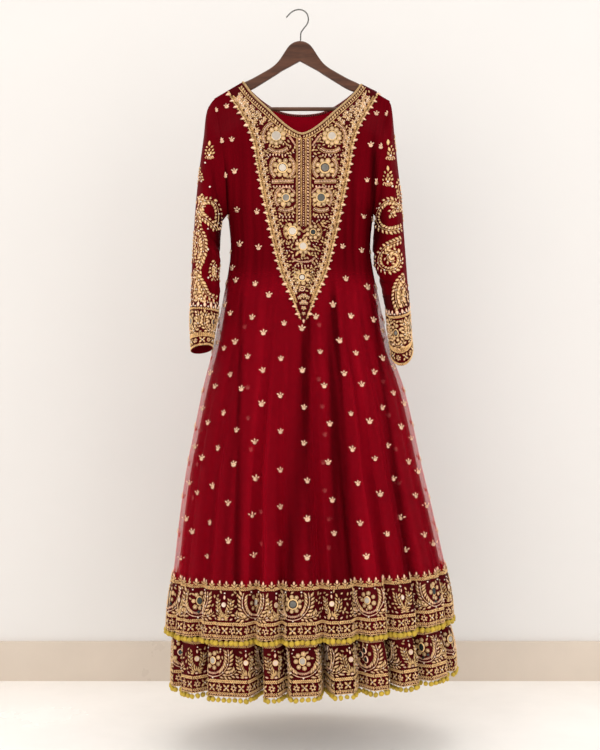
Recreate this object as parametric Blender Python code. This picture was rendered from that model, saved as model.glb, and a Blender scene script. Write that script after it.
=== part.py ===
"""Anarkali gown on a wooden hanger.

A floor-length flared gown with a sheer outer layer over a longer under layer, long sleeves, an embroidered
V yoke, embroidered borders on both hems and cuffs, and two rows of pompom trim. It hangs from a plain wooden
hanger. Metres, +Z up, the front faces -Y, and the origin is where the hook hangs on its rod.
"""

import math

import bpy
import bmesh
from mathutils import Vector

# ---------------------------------------------------------------- driving sizes
WALL = 0.0015  # thickness of the cloth walls
SEAM_GAP = 0.0003  # clearance between two pieces that meet at a seam
ARMHOLE_GAP = 0.0008  # the same round an armhole, where the two edges curve
TRIM_WALL = 0.0012  # thickness of a border, yoke or strip that lies on a panel
TRIM_LIFT = 0.0004  # clearance between a panel and what lies on it

HANGER_X = 0.003  # middle of the hanger's arms, to the side of the hang point
NECK_HALF = 0.138  # from the middle to where neckline and shoulder meet
NECK_SHARE = 0.68  # the same, as a share of the half width of the shoulders
NECK_Z = -0.1695  # height of the shoulder line at NECK_HALF
SHOULDER_SLOPE = 0.59  # drop of the shoulder line for each metre outwards
ROLL_DROP = 0.006  # height of the turn of the cloth over the hanger's arm
ROLL_HALF = 0.0105  # half depth of the cloth where it has turned over the arm
SPREAD = 0.16  # height over which the cloth spreads from the arm to full depth
SECTION_POWER = 0.85  # under 1 makes the sections fuller than an ellipse

FRONT_NECK_Z = -0.300  # point of the V neck
FRONT_NECK_POWER = 1.55  # roundness of the front neckline
BACK_NECK_Z = -0.2345
BACK_NECK_POWER = 2.3

ARMPIT_Z = -0.471
ARMHOLE_HALF_DEPTH = 0.058
WAIST_Z = -0.550
BORDER_TOP_Z = -1.280
HEM_Z = -1.404  # edge of the outer layer's cloth
UNDER_TOP_Z = -0.557  # the under layer is sewn in here, just below the waist
UNDER_BORDER_TOP_Z = -1.400
UNDER_HEM_Z = -1.526  # edge of the under layer's cloth
UNDER_CLEARANCE = 0.013  # between the two layers, where they hang free
UNDER_OPENS_Z = -0.760  # the clearance reaches its full size here
HEM_TILT = 0.056  # the hem rises by this much for each metre towards +X

# Outline of the outer layer: half width, depth of the front and of the back, and where its middle lies.
SECTIONS = (
    # z, half_width, front_depth, back_depth, middle_x
    (-0.160, 0.2030, 0.056, 0.044, 0.0080),
    (-0.205, 0.2030, 0.057, 0.045, 0.0080),
    (-0.344, 0.1770, 0.062, 0.050, 0.0070),
    (-0.471, 0.1675, 0.066, 0.052, 0.0045),
    (-0.550, 0.1610, 0.060, 0.048, 0.0042),
    (-0.610, 0.1680, 0.068, 0.054, 0.0048),
    (-0.668, 0.1800, 0.080, 0.064, 0.0053),
    (-0.783, 0.2045, 0.104, 0.086, 0.0065),
    (-0.869, 0.2305, 0.124, 0.104, 0.0104),
    (-0.954, 0.2500, 0.143, 0.122, 0.0120),
    (-1.058, 0.2715, 0.163, 0.142, 0.0125),
    (-1.155, 0.2900, 0.180, 0.160, 0.0169),
    (-1.273, 0.3100, 0.198, 0.178, 0.0231),
    (-1.358, 0.3255, 0.208, 0.190, 0.0252),
    (-1.404, 0.3290, 0.213, 0.195, 0.0252),
)
# The same for the stretch of the under layer that shows below the outer hem.
UNDER_SECTIONS = (
    # z, half_width, front_depth, back_depth, middle_x
    (-1.380, 0.3105, 0.194, 0.176, 0.0250),
    (-1.404, 0.3120, 0.195, 0.177, 0.0255),
    (-1.440, 0.3195, 0.201, 0.183, 0.0300),
    (-1.487, 0.3255, 0.206, 0.188, 0.0335),
    (-1.526, 0.3270, 0.208, 0.190, 0.0345),
)
# Valleys between the folds. A place counts round the gown: 0 to 1 across the front, 1 to 2 across the back.
FOLDS = (
    # place, half_width, outer_depth, under_depth, start_z
    (0.115, 0.034, 0.014, 0.030, -0.80),
    (0.225, 0.030, 0.018, 0.040, -0.70),
    (0.375, 0.022, 0.028, 0.085, -0.64),
    (0.437, 0.018, 0.028, 0.042, -0.75),
    (0.525, 0.020, 0.022, 0.080, -0.66),
    (0.605, 0.026, 0.028, 0.045, -0.70),
    (0.680, 0.020, 0.026, 0.085, -0.66),
    (0.765, 0.026, 0.024, 0.040, -0.62),
    (0.885, 0.030, 0.016, 0.035, -0.80),
    (1.100, 0.032, 0.016, 0.030, -0.80),
    (1.200, 0.026, 0.024, 0.038, -0.66),
    (1.315, 0.026, 0.028, 0.034, -0.70),
    (1.400, 0.024, 0.026, 0.042, -0.62),
    (1.490, 0.024, 0.028, 0.034, -0.70),
    (1.575, 0.024, 0.022, 0.042, -0.64),
    (1.660, 0.026, 0.028, 0.034, -0.72),
    (1.770, 0.024, 0.024, 0.040, -0.64),
    (1.890, 0.032, 0.016, 0.030, -0.80),
)
FOLD_FLOOR = 0.4  # a valley has two columns this share of its half width from its middle
FOLD_GROWTH = 1.2
WIDEST_COLUMN = 0.055  # a wider stretch between two columns gets one more
CLOSEST_COLUMN = 0.009  # of two closer columns one is left out
NECK_COLUMNS = (0.006, 0.022)  # columns beside a neck point, which turn the cloth over the hanger's arm

# Rows of the outer panels: some follow the top edge, the others lie level.
TOP_ROW_DROPS = (0.0, 0.0025, 0.012, 0.060)
LEVEL_ROWS = (-0.365, -0.471, -0.550, -0.640, -0.790, -1.020, -1.280, -1.404)
UNDER_ROWS = (-0.557, -0.760, -1.080, -1.380, -1.400, -1.462, -1.526)

# Each sleeve as rings from the armhole to the cuff: the ring's outer and inner point in the front view,
# its half depth, how far it hangs forward, and how much lower its front is than its middle.
SLEEVE_RIGHT_ARM = (
    # out_x, out_z, in_x, in_z, half_depth, forward, front_drop
    (-0.2115, -0.2330, -0.1680, -0.4770, 0.058, 0.000, 0.000),
    (-0.2188, -0.2934, -0.1730, -0.4838, 0.062, 0.002, 0.000),
    (-0.2275, -0.3627, -0.1772, -0.4977, 0.064, 0.006, 0.000),
    (-0.2350, -0.4366, -0.1796, -0.5208, 0.062, 0.012, 0.000),
    (-0.2402, -0.5174, -0.1808, -0.5623, 0.058, 0.018, 0.000),
    (-0.2440, -0.5983, -0.1815, -0.6168, 0.053, 0.026, 0.000),
    (-0.2455, -0.6800, -0.1822, -0.6860, 0.047, 0.034, -0.002),
    (-0.2450, -0.7369, -0.1905, -0.7369, 0.042, 0.044, -0.004),
    (-0.2425, -0.7895, -0.1965, -0.7800, 0.038, 0.050, -0.008),
)
SLEEVE_LEFT_ARM = (
    # out_x, out_z, in_x, in_z, half_depth, forward, front_drop
    (0.2150, -0.2300, 0.1765, -0.4770, 0.058, 0.000, 0.000),
    (0.2205, -0.2888, 0.1755, -0.4874, 0.062, 0.002, 0.000),
    (0.2280, -0.3604, 0.1738, -0.5059, 0.063, 0.004, 0.000),
    (0.2356, -0.4320, 0.1722, -0.5313, 0.060, 0.008, 0.000),
    (0.2408, -0.5059, 0.1715, -0.5620, 0.056, 0.012, 0.000),
    (0.2460, -0.5798, 0.1825, -0.6122, 0.052, 0.018, 0.002),
    (0.2502, -0.6491, 0.1960, -0.6607, 0.047, 0.024, 0.005),
    (0.2540, -0.7253, 0.2045, -0.7369, 0.042, 0.030, 0.018),
    (0.2590, -0.7831, 0.2118, -0.7960, 0.038, 0.034, 0.032),
)
SLEEVE_COLUMNS = 20
CUFF_FIRST_RING = 7  # the cuff's border starts at this ring, counted from the armhole

# Half width of the embroidered yoke, from the shoulder to its point.
YOKE_EDGE = (
    # z, half_width
    (-0.1908, 0.1700),
    (-0.2941, 0.1164),
    (-0.3734, 0.0999),
    (-0.4453, 0.0861),
    (-0.5274, 0.0683),
    (-0.6108, 0.0474),
    (-0.6718, 0.0214),
    (-0.7200, 0.0030),
)
YOKE_LEAF_PITCH = 0.048  # from one leaf of the yoke's edge to the next
YOKE_LEAF_REACH = 0.0028  # how far a leaf or notch of the yoke's edge lies from its line
YOKE_END_ROW_Z = -0.790  # the panel's row below the yoke
YOKE_MIDDLE_X = 0.011
PLACKET_HALF_WIDTH = 0.0145
PLACKET_END_Z = -0.508
CUTTER_DEPTH = 0.15

# The large round mirrors sewn on the yoke, by their place on the gown's front.
MIRRORS = (
    # x from the yoke's middle, z, radius
    (-0.0617, -0.3036, 0.0085),
    (0.0642, -0.3036, 0.0085),
    (-0.0475, -0.3758, 0.0085),
    (0.0484, -0.3758, 0.0085),
    (-0.0396, -0.4435, 0.0075),
    (0.0394, -0.4435, 0.0075),
    (-0.0249, -0.5180, 0.0060),
    (0.0213, -0.5202, 0.0060),
)
MIRROR_THICKNESS = 0.0016
MIRROR_SIDES = 12

PIPING_RADIUS = 0.0016
PIPING_RISE = 0.0012  # the cord lies this much higher where it crosses the hanger's arm

POMPOMS_PER_HALF = 42  # of each tier, front and back alike
POMPOM_STRIP_HEIGHT = 0.0030
POMPOM_DROP = 0.0110  # from the strip to a pompom's tip
POMPOM_RADIUS = 0.0050
POMPOM_WAIST_SHARE = 0.45  # the widest place of a pompom, as a share of its drop

# The hanger's arms in the front view, from its middle to the end of an arm.
HANGER_EDGES = (
    # x, top_z, bottom_z
    (0.0000, -0.0709, -0.1178),
    (0.0125, -0.0735, -0.1245),
    (0.0243, -0.0813, -0.1310),
    (0.0340, -0.0945, -0.1362),
    (0.0430, -0.1085, -0.1412),
    (0.0530, -0.1215, -0.1480),
    (0.0660, -0.1325, -0.1562),
    (0.0850, -0.1440, -0.1680),
    (0.1100, -0.1578, -0.1828),
)
HANGER_ARM_END = 0.1980
HANGER_BOSS_X = 0.1800  # the bar's socket at the end of the arm starts here
HANGER_BOSS_Z = -0.2370
HANGER_CROWN_DROP = 0.0020  # the arm's crown lies this far below the cloth's shoulder line
HANGER_ARM_HEIGHT = 0.0225
HANGER_HALF_DEPTH = 0.0058
HANGER_SHOULDER_DROP = 0.0055  # from the crown to where the arm has its full depth
BAR_RADIUS = 0.0046
BAR_Z = -0.2285
BAR_SIDES = 10

HOOK_WIRE_RADIUS = 0.0016
HOOK_ROUTE = (
    # x, z of the wire's centre, from the wood to the tip
    (0.0044, -0.0701),
    (0.0044, -0.0600),
    (0.0056, -0.0515),
    (0.0115, -0.0425),
    (0.0182, -0.0340),
    (0.0217, -0.0260),
    (0.0222, -0.0190),
    (0.0202, -0.0105),
    (0.0155, -0.0040),
    (0.0085, 0.0003),
    (0.0000, 0.0016),
    (-0.0085, -0.0001),
    (-0.0160, -0.0040),
    (-0.0225, -0.0100),
    (-0.0286, -0.0169),
)
HOOK_STEPS = 2  # points of the wire for each stretch of its route

# ---------------------------------------------------------------- colours
FINISHES = {
    # base colour, roughness, metallic
    "net": ((0.30, 0.006, 0.020), 0.55, 0.0),
    "lining": ((0.34, 0.004, 0.016), 0.40, 0.0),
    "embroidery": ((0.62, 0.43, 0.20), 0.45, 0.6),
    "border": ((0.40, 0.20, 0.11), 0.50, 0.4),
    "pompom": ((0.62, 0.43, 0.04), 0.80, 0.0),
    "mirror": ((0.72, 0.72, 0.70), 0.08, 1.0),
    "wood": ((0.085, 0.030, 0.014), 0.40, 0.0),
    "bar": ((0.12, 0.055, 0.030), 0.40, 0.0),
    "steel": ((0.55, 0.54, 0.52), 0.25, 1.0),
}


def finish(name):
    """The material of that name, made once."""
    found = bpy.data.materials.get(name)
    if found:
        return found
    colour, roughness, metallic = FINISHES[name]
    material = bpy.data.materials.new(name)
    material.use_nodes = True
    shader = material.node_tree.nodes["Principled BSDF"]
    shader.inputs["Base Color"].default_value = (*colour, 1.0)
    shader.inputs["Roughness"].default_value = roughness
    shader.inputs["Metallic"].default_value = metallic
    material.diffuse_color = (*colour, 1.0)
    return material


# ---------------------------------------------------------------- small helpers
def ease(share):
    """0 to 1, with a level start and end."""
    share = min(1.0, max(0.0, share))
    return share * share * (3 - 2 * share)


def column_at(table, z, column):
    """A column of a table whose first column is a falling z, read on a smooth curve through its rows."""
    z = min(table[0][0], max(table[-1][0], z))
    last = len(table) - 2
    row = next((i for i in range(last + 1) if z >= table[i + 1][0]), last)
    high, low = table[row], table[row + 1]
    span = high[0] - low[0]
    share = (high[0] - z) / span
    before, after = table[max(0, row - 1)], table[min(len(table) - 1, row + 2)]
    rate_high = (low[column] - before[column]) / max(before[0] - low[0], span) * span
    rate_low = (after[column] - high[column]) / max(high[0] - after[0], span) * span
    square, cube = share * share, share * share * share
    return (
        (2 * cube - 3 * square + 1) * high[column]
        + (cube - 2 * square + share) * rate_high
        + (3 * square - 2 * cube) * low[column]
        + (cube - square) * rate_low
    )


def shoulder_z(x):
    """Height of the shoulder line, which follows the hanger's arm."""
    return NECK_Z - SHOULDER_SLOPE * (abs(x - HANGER_X) - NECK_HALF)


def fold_depth(place, z, under):
    """How far the folds pull the cloth in at a place round the gown."""
    pulled = 0.0
    for middle, half_width, outer_depth, under_depth, start_z in FOLDS:
        away = abs(place - middle) / half_width
        if away < 1 and z < start_z:
            hem_z, depth = (UNDER_HEM_Z, under_depth) if under else (HEM_Z, outer_depth)
            grown = ((start_z - z) / (start_z - hem_z)) ** FOLD_GROWTH
            pulled += depth * grown * math.cos(away * math.pi / 2) ** 2
    return pulled


def tilted(x, z, middle):
    """The height of a point once the hem's tilt is added, which grows from the waist down."""
    share = max(0.0, (WAIST_Z - z) / (WAIST_Z - UNDER_HEM_Z))
    return z + HEM_TILT * share * share * (x - middle)


def ring_point(place, z, sizes, pulled):
    """A point of a level section, at a place round the gown."""
    half_width, front_depth, back_depth, middle = sizes
    across, ahead = -math.cos(math.pi * place), math.sin(math.pi * place)
    depth = front_depth if ahead >= 0 else back_depth
    x, y = half_width * across, -depth * math.copysign(abs(ahead) ** SECTION_POWER, ahead)
    outwards = Vector((across / half_width, -ahead / depth, 0)).normalized()
    x, y = x - outwards.x * pulled, y - outwards.y * pulled
    return Vector((middle + x, y, tilted(middle + x, z, middle)))


def outer_point(place, z, is_front):
    """A point on the outside of the outer layer."""
    sizes = [column_at(SECTIONS, z, column) for column in (1, 2, 3, 4)]
    point = ring_point(place, z, sizes, fold_depth(place, z, False))
    if z <= ARMPIT_Z:
        return point
    half_width, front_depth, back_depth, middle = sizes
    ahead = math.sin(math.pi * place)
    depth = front_depth if is_front else back_depth
    side = -1 if math.cos(math.pi * place) > 0 else 1
    tip_z = shoulder_z(middle + side * column_at(SECTIONS, NECK_Z, 1))
    armhole_middle, armhole_half = (tip_z + ARMPIT_Z) / 2, (tip_z - ARMPIT_Z) / 2
    high = min(1.0, abs(z - armhole_middle) / armhole_half)
    edge = ARMHOLE_HALF_DEPTH * math.sqrt(1 - high * high) if z < tip_z else 0.0
    full = edge + (depth - edge) * abs(ahead) ** SECTION_POWER
    drop = max(0.0, shoulder_z(point.x) - z)
    turned = max(0.0, 1 - drop / ROLL_DROP)
    rolled = ROLL_HALF * math.sqrt(1 - turned * turned) + full * ease(drop / SPREAD)
    point.y = -min(full, rolled) if is_front else min(full, rolled)
    return point


def under_point(place, z):
    """A point on the outside of the under layer."""
    if z > UNDER_SECTIONS[0][0]:
        opened = ease((UNDER_TOP_Z - z) / (UNDER_TOP_Z - UNDER_OPENS_Z))
        inset = WALL + SEAM_GAP + 0.0002 + UNDER_CLEARANCE * opened
        half_width, front_depth, back_depth, middle = [
            column_at(SECTIONS, z, column) for column in (1, 2, 3, 4)
        ]
        sizes = (half_width - inset, front_depth - inset, back_depth - inset, middle)
    else:
        sizes = [column_at(UNDER_SECTIONS, z, column) for column in (1, 2, 3, 4)]
    return ring_point(place, z, sizes, fold_depth(place, z, True))


def places(start):
    """The columns of one half of the gown: its edges, its neck points, its folds and what is between."""
    neck = math.acos(NECK_SHARE) / math.pi
    by_neck = [neck + step for step in (0, *NECK_COLUMNS)]
    fixed = [start + share for share in (*by_neck, 0.5, *(1 - share for share in by_neck))]
    found = [start, *fixed, start + 1.0]
    for middle, half_width, *_ in FOLDS:
        if start < middle < start + 1:
            steps = (-1, -FOLD_FLOOR, FOLD_FLOOR, 1)
            found += [middle + half_width * step for step in steps]
    found = sorted(found)
    kept = [found[0]]
    for place in found[1:]:
        if place - kept[-1] > WIDEST_COLUMN:
            kept.append((place + kept[-1]) / 2)
        if place - kept[-1] > CLOSEST_COLUMN or (place in fixed and kept[-1] in fixed):
            kept.append(place)
        elif place in fixed or place == found[-1]:
            kept[-1] = place
    return kept


def grid_normals(rows, closed=False):
    """The outward normal at each point of a grid of points, row by row from the top."""
    count = len(rows[0])
    normals = []
    for j, row in enumerate(rows):
        above, below = rows[max(0, j - 1)], rows[min(len(rows) - 1, j + 1)]
        line = []
        for i in range(count):
            if closed:
                ahead, back = row[(i + 1) % count], row[i - 1]
            else:
                ahead, back = row[min(count - 1, i + 1)], row[max(0, i - 1)]
            line.append((ahead - back).cross(above[i] - below[i]).normalized())
        normals.append(line)
    return normals


def moved(rows, normals, distance):
    return [
        [point + normal * distance for point, normal in zip(row, line)]
        for row, line in zip(rows, normals)
    ]


def add_solid(name, vertices, faces, material):
    """One closed mesh object, with its faces pointing out."""
    mesh = bpy.data.meshes.new(name)
    mesh.from_pydata([tuple(v) for v in vertices], [], faces)
    shape = bmesh.new()
    shape.from_mesh(mesh)
    bmesh.ops.recalc_face_normals(shape, faces=shape.faces)
    shape.to_mesh(mesh)
    shape.free()
    mesh.shade_smooth()
    mesh.set_sharp_from_angle(angle=math.radians(40))
    mesh.materials.append(finish(material))
    obj = bpy.data.objects.new(name, mesh)
    bpy.context.scene.collection.objects.link(obj)
    return obj


def add_wall(name, outside, inside, material, closed=False):
    """A wall between two grids of points, closed along its edges."""
    rows, count = len(outside), len(outside[0])
    vertices = [point for grid in (outside, inside) for row in grid for point in row]
    shift = rows * count
    faces = []
    for j in range(rows - 1):
        for i in range(count if closed else count - 1):
            a, b = j * count + i, j * count + (i + 1) % count
            c, d = b + count, a + count
            faces += [(a, b, c), (a, c, d)]
            faces += [(shift + c, shift + b, shift + a), (shift + d, shift + c, shift + a)]
    rim = [(j, i, j, i + 1) for j in (0, rows - 1) for i in range(count - 1)]
    if closed:
        rim += [(0, count - 1, 0, 0), (rows - 1, count - 1, rows - 1, 0)]
    else:
        rim += [(j, i, j + 1, i) for i in (0, count - 1) for j in range(rows - 1)]
    for j0, i0, j1, i1 in rim:
        a, b = j0 * count + i0, j1 * count + i1
        faces.append((a, b, shift + b, shift + a))
    return add_solid(name, vertices, faces, material)


def swept(name, rings, material):
    """A bar through rings of points, with flat ends."""
    sides = len(rings[0])
    faces = [
        (k * sides + i, k * sides + (i + 1) % sides, (k + 1) * sides + (i + 1) % sides, (k + 1) * sides + i)
        for k in range(len(rings) - 1)
        for i in range(sides)
    ]
    last = (len(rings) - 1) * sides
    faces += [tuple(range(sides)), tuple(last + i for i in reversed(range(sides)))]
    return add_solid(name, [point for ring in rings for point in ring], faces, material)


def add_cord(name, route, radius, material, is_closed=False):
    """A round cord or wire along a route."""
    curve = bpy.data.curves.new(name, "CURVE")
    curve.dimensions = "3D"
    curve.bevel_depth = radius
    curve.bevel_resolution = 1
    curve.use_fill_caps = True
    spline = curve.splines.new("POLY")
    spline.points.add(len(route) - 1)
    spline.use_cyclic_u = is_closed
    for target, point in zip(spline.points, route):
        target.co = (*point, 1.0)
    curve.materials.append(finish(material))
    obj = bpy.data.objects.new(name, curve)
    bpy.context.scene.collection.objects.link(obj)


# ---------------------------------------------------------------- the panels
def top_z(place, is_front):
    """Height of a panel's top edge: the neckline in the middle, and the shoulder line beside it."""
    share = abs(math.cos(math.pi * place)) / NECK_SHARE
    side = -1 if math.cos(math.pi * place) > 0 else 1
    middle, half_width = column_at(SECTIONS, NECK_Z, 4), column_at(SECTIONS, NECK_Z, 1)
    if share >= 1 - 1e-9:
        return shoulder_z(middle + side * half_width * share * NECK_SHARE)
    neck_top = shoulder_z(middle + side * half_width * NECK_SHARE)
    low, power = (
        (FRONT_NECK_Z, FRONT_NECK_POWER) if is_front else (BACK_NECK_Z, BACK_NECK_POWER)
    )
    return neck_top + (low - neck_top) * (1 - share**power)


def panel_grid(start):
    """The outside of a half of the outer layer: rows of points from its top edge to its hem."""
    columns, is_front = places(start), start == 0
    edge = -SEAM_GAP / 2 if is_front else SEAM_GAP / 2
    rows = []
    for drop in TOP_ROW_DROPS:
        tops = [top_z(place, is_front) - drop for place in columns]
        rows.append([outer_point(place, z, is_front) for place, z in zip(columns, tops)])
    for z in LEVEL_ROWS:
        rows.append([outer_point(place, z, is_front) for place in columns])
    for row in rows:
        for point in row:
            point.y += edge
    return columns, rows


def panel_normals(columns, start, rows):
    """A panel's normals, turned so that its side and shoulder seams end square."""
    normals = grid_normals(rows)
    neck = math.acos(NECK_SHARE) / math.pi
    first_level = len(TOP_ROW_DROPS) + 1
    for j, line in enumerate(normals):
        for i in (0, len(line) - 1):
            if j >= first_level:
                line[i] = Vector((line[i].x, 0, line[i].z)).normalized()
    for i, place in enumerate(columns):
        on_shoulder = place - start <= neck + 1e-9 or place - start >= 1 - neck - 1e-9
        if on_shoulder:
            side = -1 if i < len(columns) / 2 else 1
            normals[0][i] = Vector((side * SHOULDER_SLOPE, 0, 1)).normalized()
    return normals


def under_grid(start):
    """The outside of a half of the under layer."""
    edge = -SEAM_GAP / 2 if start == 0 else SEAM_GAP / 2
    columns = places(start)
    rows = [[under_point(place, z) for place in columns] for z in UNDER_ROWS]
    for row in rows:
        for point in row:
            point.y += edge
    return rows


def square_ends(normals):
    """Turns the normals at both side seams so that the wall ends square there."""
    for line in normals:
        for i in (0, len(line) - 1):
            line[i] = Vector((line[i].x, 0, line[i].z)).normalized()
    return normals


def add_border(name, rows, normals):
    """A band that lies on the last rows of a panel, moved out."""
    inside = moved(rows, normals, TRIM_LIFT)
    outside = moved(rows, normals, TRIM_LIFT + TRIM_WALL)
    add_wall(name, outside, inside, "border")


# ---------------------------------------------------------------- what lies on the front
class Surface:
    """The flat faces of a panel, read at a place in the front view."""

    def __init__(self, columns, rows, normals):
        self.columns, self.rows, self.normals = columns, rows, normals

    def at(self, x, z, lift):
        """The point on the panel at x and height z of the front view, lifted off it."""
        half_width, middle = column_at(SECTIONS, z, 1), column_at(SECTIONS, z, 4)
        share = min(1.0, max(-1.0, (x - middle) / half_width))
        place = math.acos(-share) / math.pi
        i = next(k for k in range(1, len(self.columns)) if self.columns[k] >= place - 1e-12) - 1
        span = self.columns[i + 1] - self.columns[i]
        side = (place - self.columns[i]) / span
        heights = [row[i].z * (1 - side) + row[i + 1].z * side for row in self.rows]
        j = next((k for k in range(1, len(heights)) if heights[k] <= z), len(heights) - 1) - 1
        down = (heights[j] - z) / (heights[j] - heights[j + 1])
        down = min(1.0, max(0.0, down))

        def mixed(grid):
            upper = grid[j][i].lerp(grid[j][i + 1], side)
            lower = grid[j + 1][i].lerp(grid[j + 1][i + 1], side)
            return upper.lerp(lower, down)

        return mixed(self.rows) + mixed(self.normals).normalized() * lift


def yoke_outline():
    """The yoke's outline in the front view, from the shoulder on one side to the other, with pointed leaves."""
    edge = []
    for (high, wide), (low, narrow) in zip(YOKE_EDGE, YOKE_EDGE[1:]):
        steps = max(2, round((high - low) / YOKE_LEAF_PITCH) * 2)
        for k in range(steps):
            share = k / steps
            point = YOKE_LEAF_REACH if k % 2 else -YOKE_LEAF_REACH
            edge.append((wide + (narrow - wide) * share + point, high + (low - high) * share))
    tip = (0.0, YOKE_EDGE[-1][0])
    outline = [(-x, z) for x, z in edge] + [tip] + edge[::-1]
    top = YOKE_EDGE[0][0] + 2 * YOKE_LEAF_PITCH
    outline += [(NECK_HALF, top), (-NECK_HALF, top)]
    return [(YOKE_MIDDLE_X + x, z) for x, z in outline]


def placket_outline():
    left, right = YOKE_MIDDLE_X - PLACKET_HALF_WIDTH, YOKE_MIDDLE_X + PLACKET_HALF_WIDTH
    top = FRONT_NECK_Z + 2 * PLACKET_HALF_WIDTH
    return [(left, top), (left, PLACKET_END_Z), (right, PLACKET_END_Z), (right, top)]


def add_cut_shell(name, rows, normals, lift, outline):
    """A layer that lies on a panel, cut to an outline in the front view."""
    inside = moved(rows, normals, lift)
    layer = add_wall(name, moved(rows, normals, lift + TRIM_WALL), inside, "embroidery")
    count = len(outline)
    corners = [(x, y, z) for y in (-CUTTER_DEPTH, 0.0) for x, z in outline]
    sides = [(k, (k + 1) % count, count + (k + 1) % count, count + k) for k in range(count)]
    faces = [tuple(range(count)), tuple(reversed(range(count, 2 * count))), *sides]
    cutter = add_solid(f"{name}_cutter", corners, faces, "embroidery")
    cutter.hide_render = True
    cut = layer.modifiers.new("cut", "BOOLEAN")
    cut.operation = "INTERSECT"
    cut.object = cutter


def add_mirror(number, x, z, radius, surface):
    """A round mirror that lies on the yoke, as a low disc."""
    base = 2 * TRIM_LIFT + TRIM_WALL
    centre = surface.at(x, z, base)
    outwards = (surface.at(x, z, base + 0.01) - centre).normalized()
    aside = outwards.cross(Vector((0, 0, 1))).normalized()
    upwards = aside.cross(outwards).normalized()
    rings = []
    for lift in (0.0003, 0.0003 + MIRROR_THICKNESS):
        ring = []
        for k in range(MIRROR_SIDES):
            angle = 2 * math.pi * k / MIRROR_SIDES
            round_it = aside * math.cos(angle) + upwards * math.sin(angle)
            ring.append(centre + outwards * lift + round_it * radius)
        rings.append(ring)
    swept(f"mirror_{number:02d}", rings, "mirror")


def add_piping(necklines):
    """A cord all round the neck, just clear of the edges of both panels."""
    reach = PIPING_RADIUS + 2 * SEAM_GAP
    route = []
    for (edge, below), turn in zip(necklines, (1, -1)):
        line = []
        for k, (point, under) in enumerate(zip(edge, below)):
            along = (edge[min(len(edge) - 1, k + 1)] - edge[max(0, k - 1)]).normalized()
            upwards = point - under
            upwards -= along * upwards.dot(along)
            line.append(point + upwards.normalized() * reach)
        # Over the hanger's arm the cord lies beside the end of the shoulder seam.
        for k, side in ((0, 1), (-1, -1)):
            inwards = Vector((side * turn, 0, SHOULDER_SLOPE)).normalized()
            line[k] = edge[k] + inwards * reach + Vector((0, 0, PIPING_RISE))
            line[k].y = 0.0
        route += line[:-1]
    add_cord("neck_piping", route, PIPING_RADIUS, "embroidery", is_closed=True)


# ---------------------------------------------------------------- sleeves
def armhole_ring(side):
    """The sleeve's first ring, which follows the armhole edges of both panels."""
    ring = []
    front, back = (0.0, 2.0) if side < 0 else (1.0, 1.0)
    middle, half_width = column_at(SECTIONS, NECK_Z, 4), column_at(SECTIONS, NECK_Z, 1)
    tip_z = shoulder_z(middle + side * half_width)
    for k in range(SLEEVE_COLUMNS):
        angle = 2 * math.pi * k / SLEEVE_COLUMNS
        z = (tip_z + ARMPIT_Z) / 2 + (tip_z - ARMPIT_Z) / 2 * math.cos(angle)
        is_front = angle <= math.pi
        point = outer_point(front if is_front else back, min(z, tip_z), is_front)
        point.x += side * ARMHOLE_GAP
        ring.append(point)
    return ring


def sleeve_rings(side, table):
    rings = [armhole_ring(side)]
    for out_x, out_z, in_x, in_z, half_depth, forward, front_drop in table:
        middle = Vector(((out_x + in_x) / 2, -forward, (out_z + in_z) / 2))
        half = Vector(((out_x - in_x) / 2, 0, (out_z - in_z) / 2))
        ring = []
        for k in range(SLEEVE_COLUMNS):
            angle = 2 * math.pi * k / SLEEVE_COLUMNS
            ahead = math.sin(angle)
            aside = Vector((0, -half_depth * ahead, -front_drop * ahead))
            ring.append(middle + half * math.cos(angle) + aside)
        rings.append(ring)
    # Rings run the same way round on both arms, so that their normals point out.
    return rings if side > 0 else [[ring[0], *reversed(ring[1:])] for ring in rings]


def add_sleeve(name, side, table):
    rings = sleeve_rings(side, table)
    normals = grid_normals(rings, closed=True)
    for k, normal in enumerate(normals[0]):
        normals[0][k] = Vector((0, normal.y, normal.z)).normalized()
    add_wall(f"sleeve_{name}", rings, moved(rings, normals, -WALL), "net", closed=True)
    cuff, lines = rings[CUFF_FIRST_RING:], normals[CUFF_FIRST_RING:]
    outside = moved(cuff, lines, TRIM_LIFT + TRIM_WALL)
    add_wall(f"cuff_border_{name}", outside, moved(cuff, lines, TRIM_LIFT), "border", closed=True)


# ---------------------------------------------------------------- pompom trim
def along_line(line, share):
    """The point at a share of a line's length, and the way the line runs there."""
    lengths = [(b - a).length for a, b in zip(line, line[1:])]
    left = share * sum(lengths)
    for a, b, length in zip(line, line[1:], lengths):
        if left <= length + 1e-9:
            return a.lerp(b, left / length), (b - a).normalized()
        left -= length
    return line[-1].copy(), (line[-1] - line[-2]).normalized()


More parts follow.
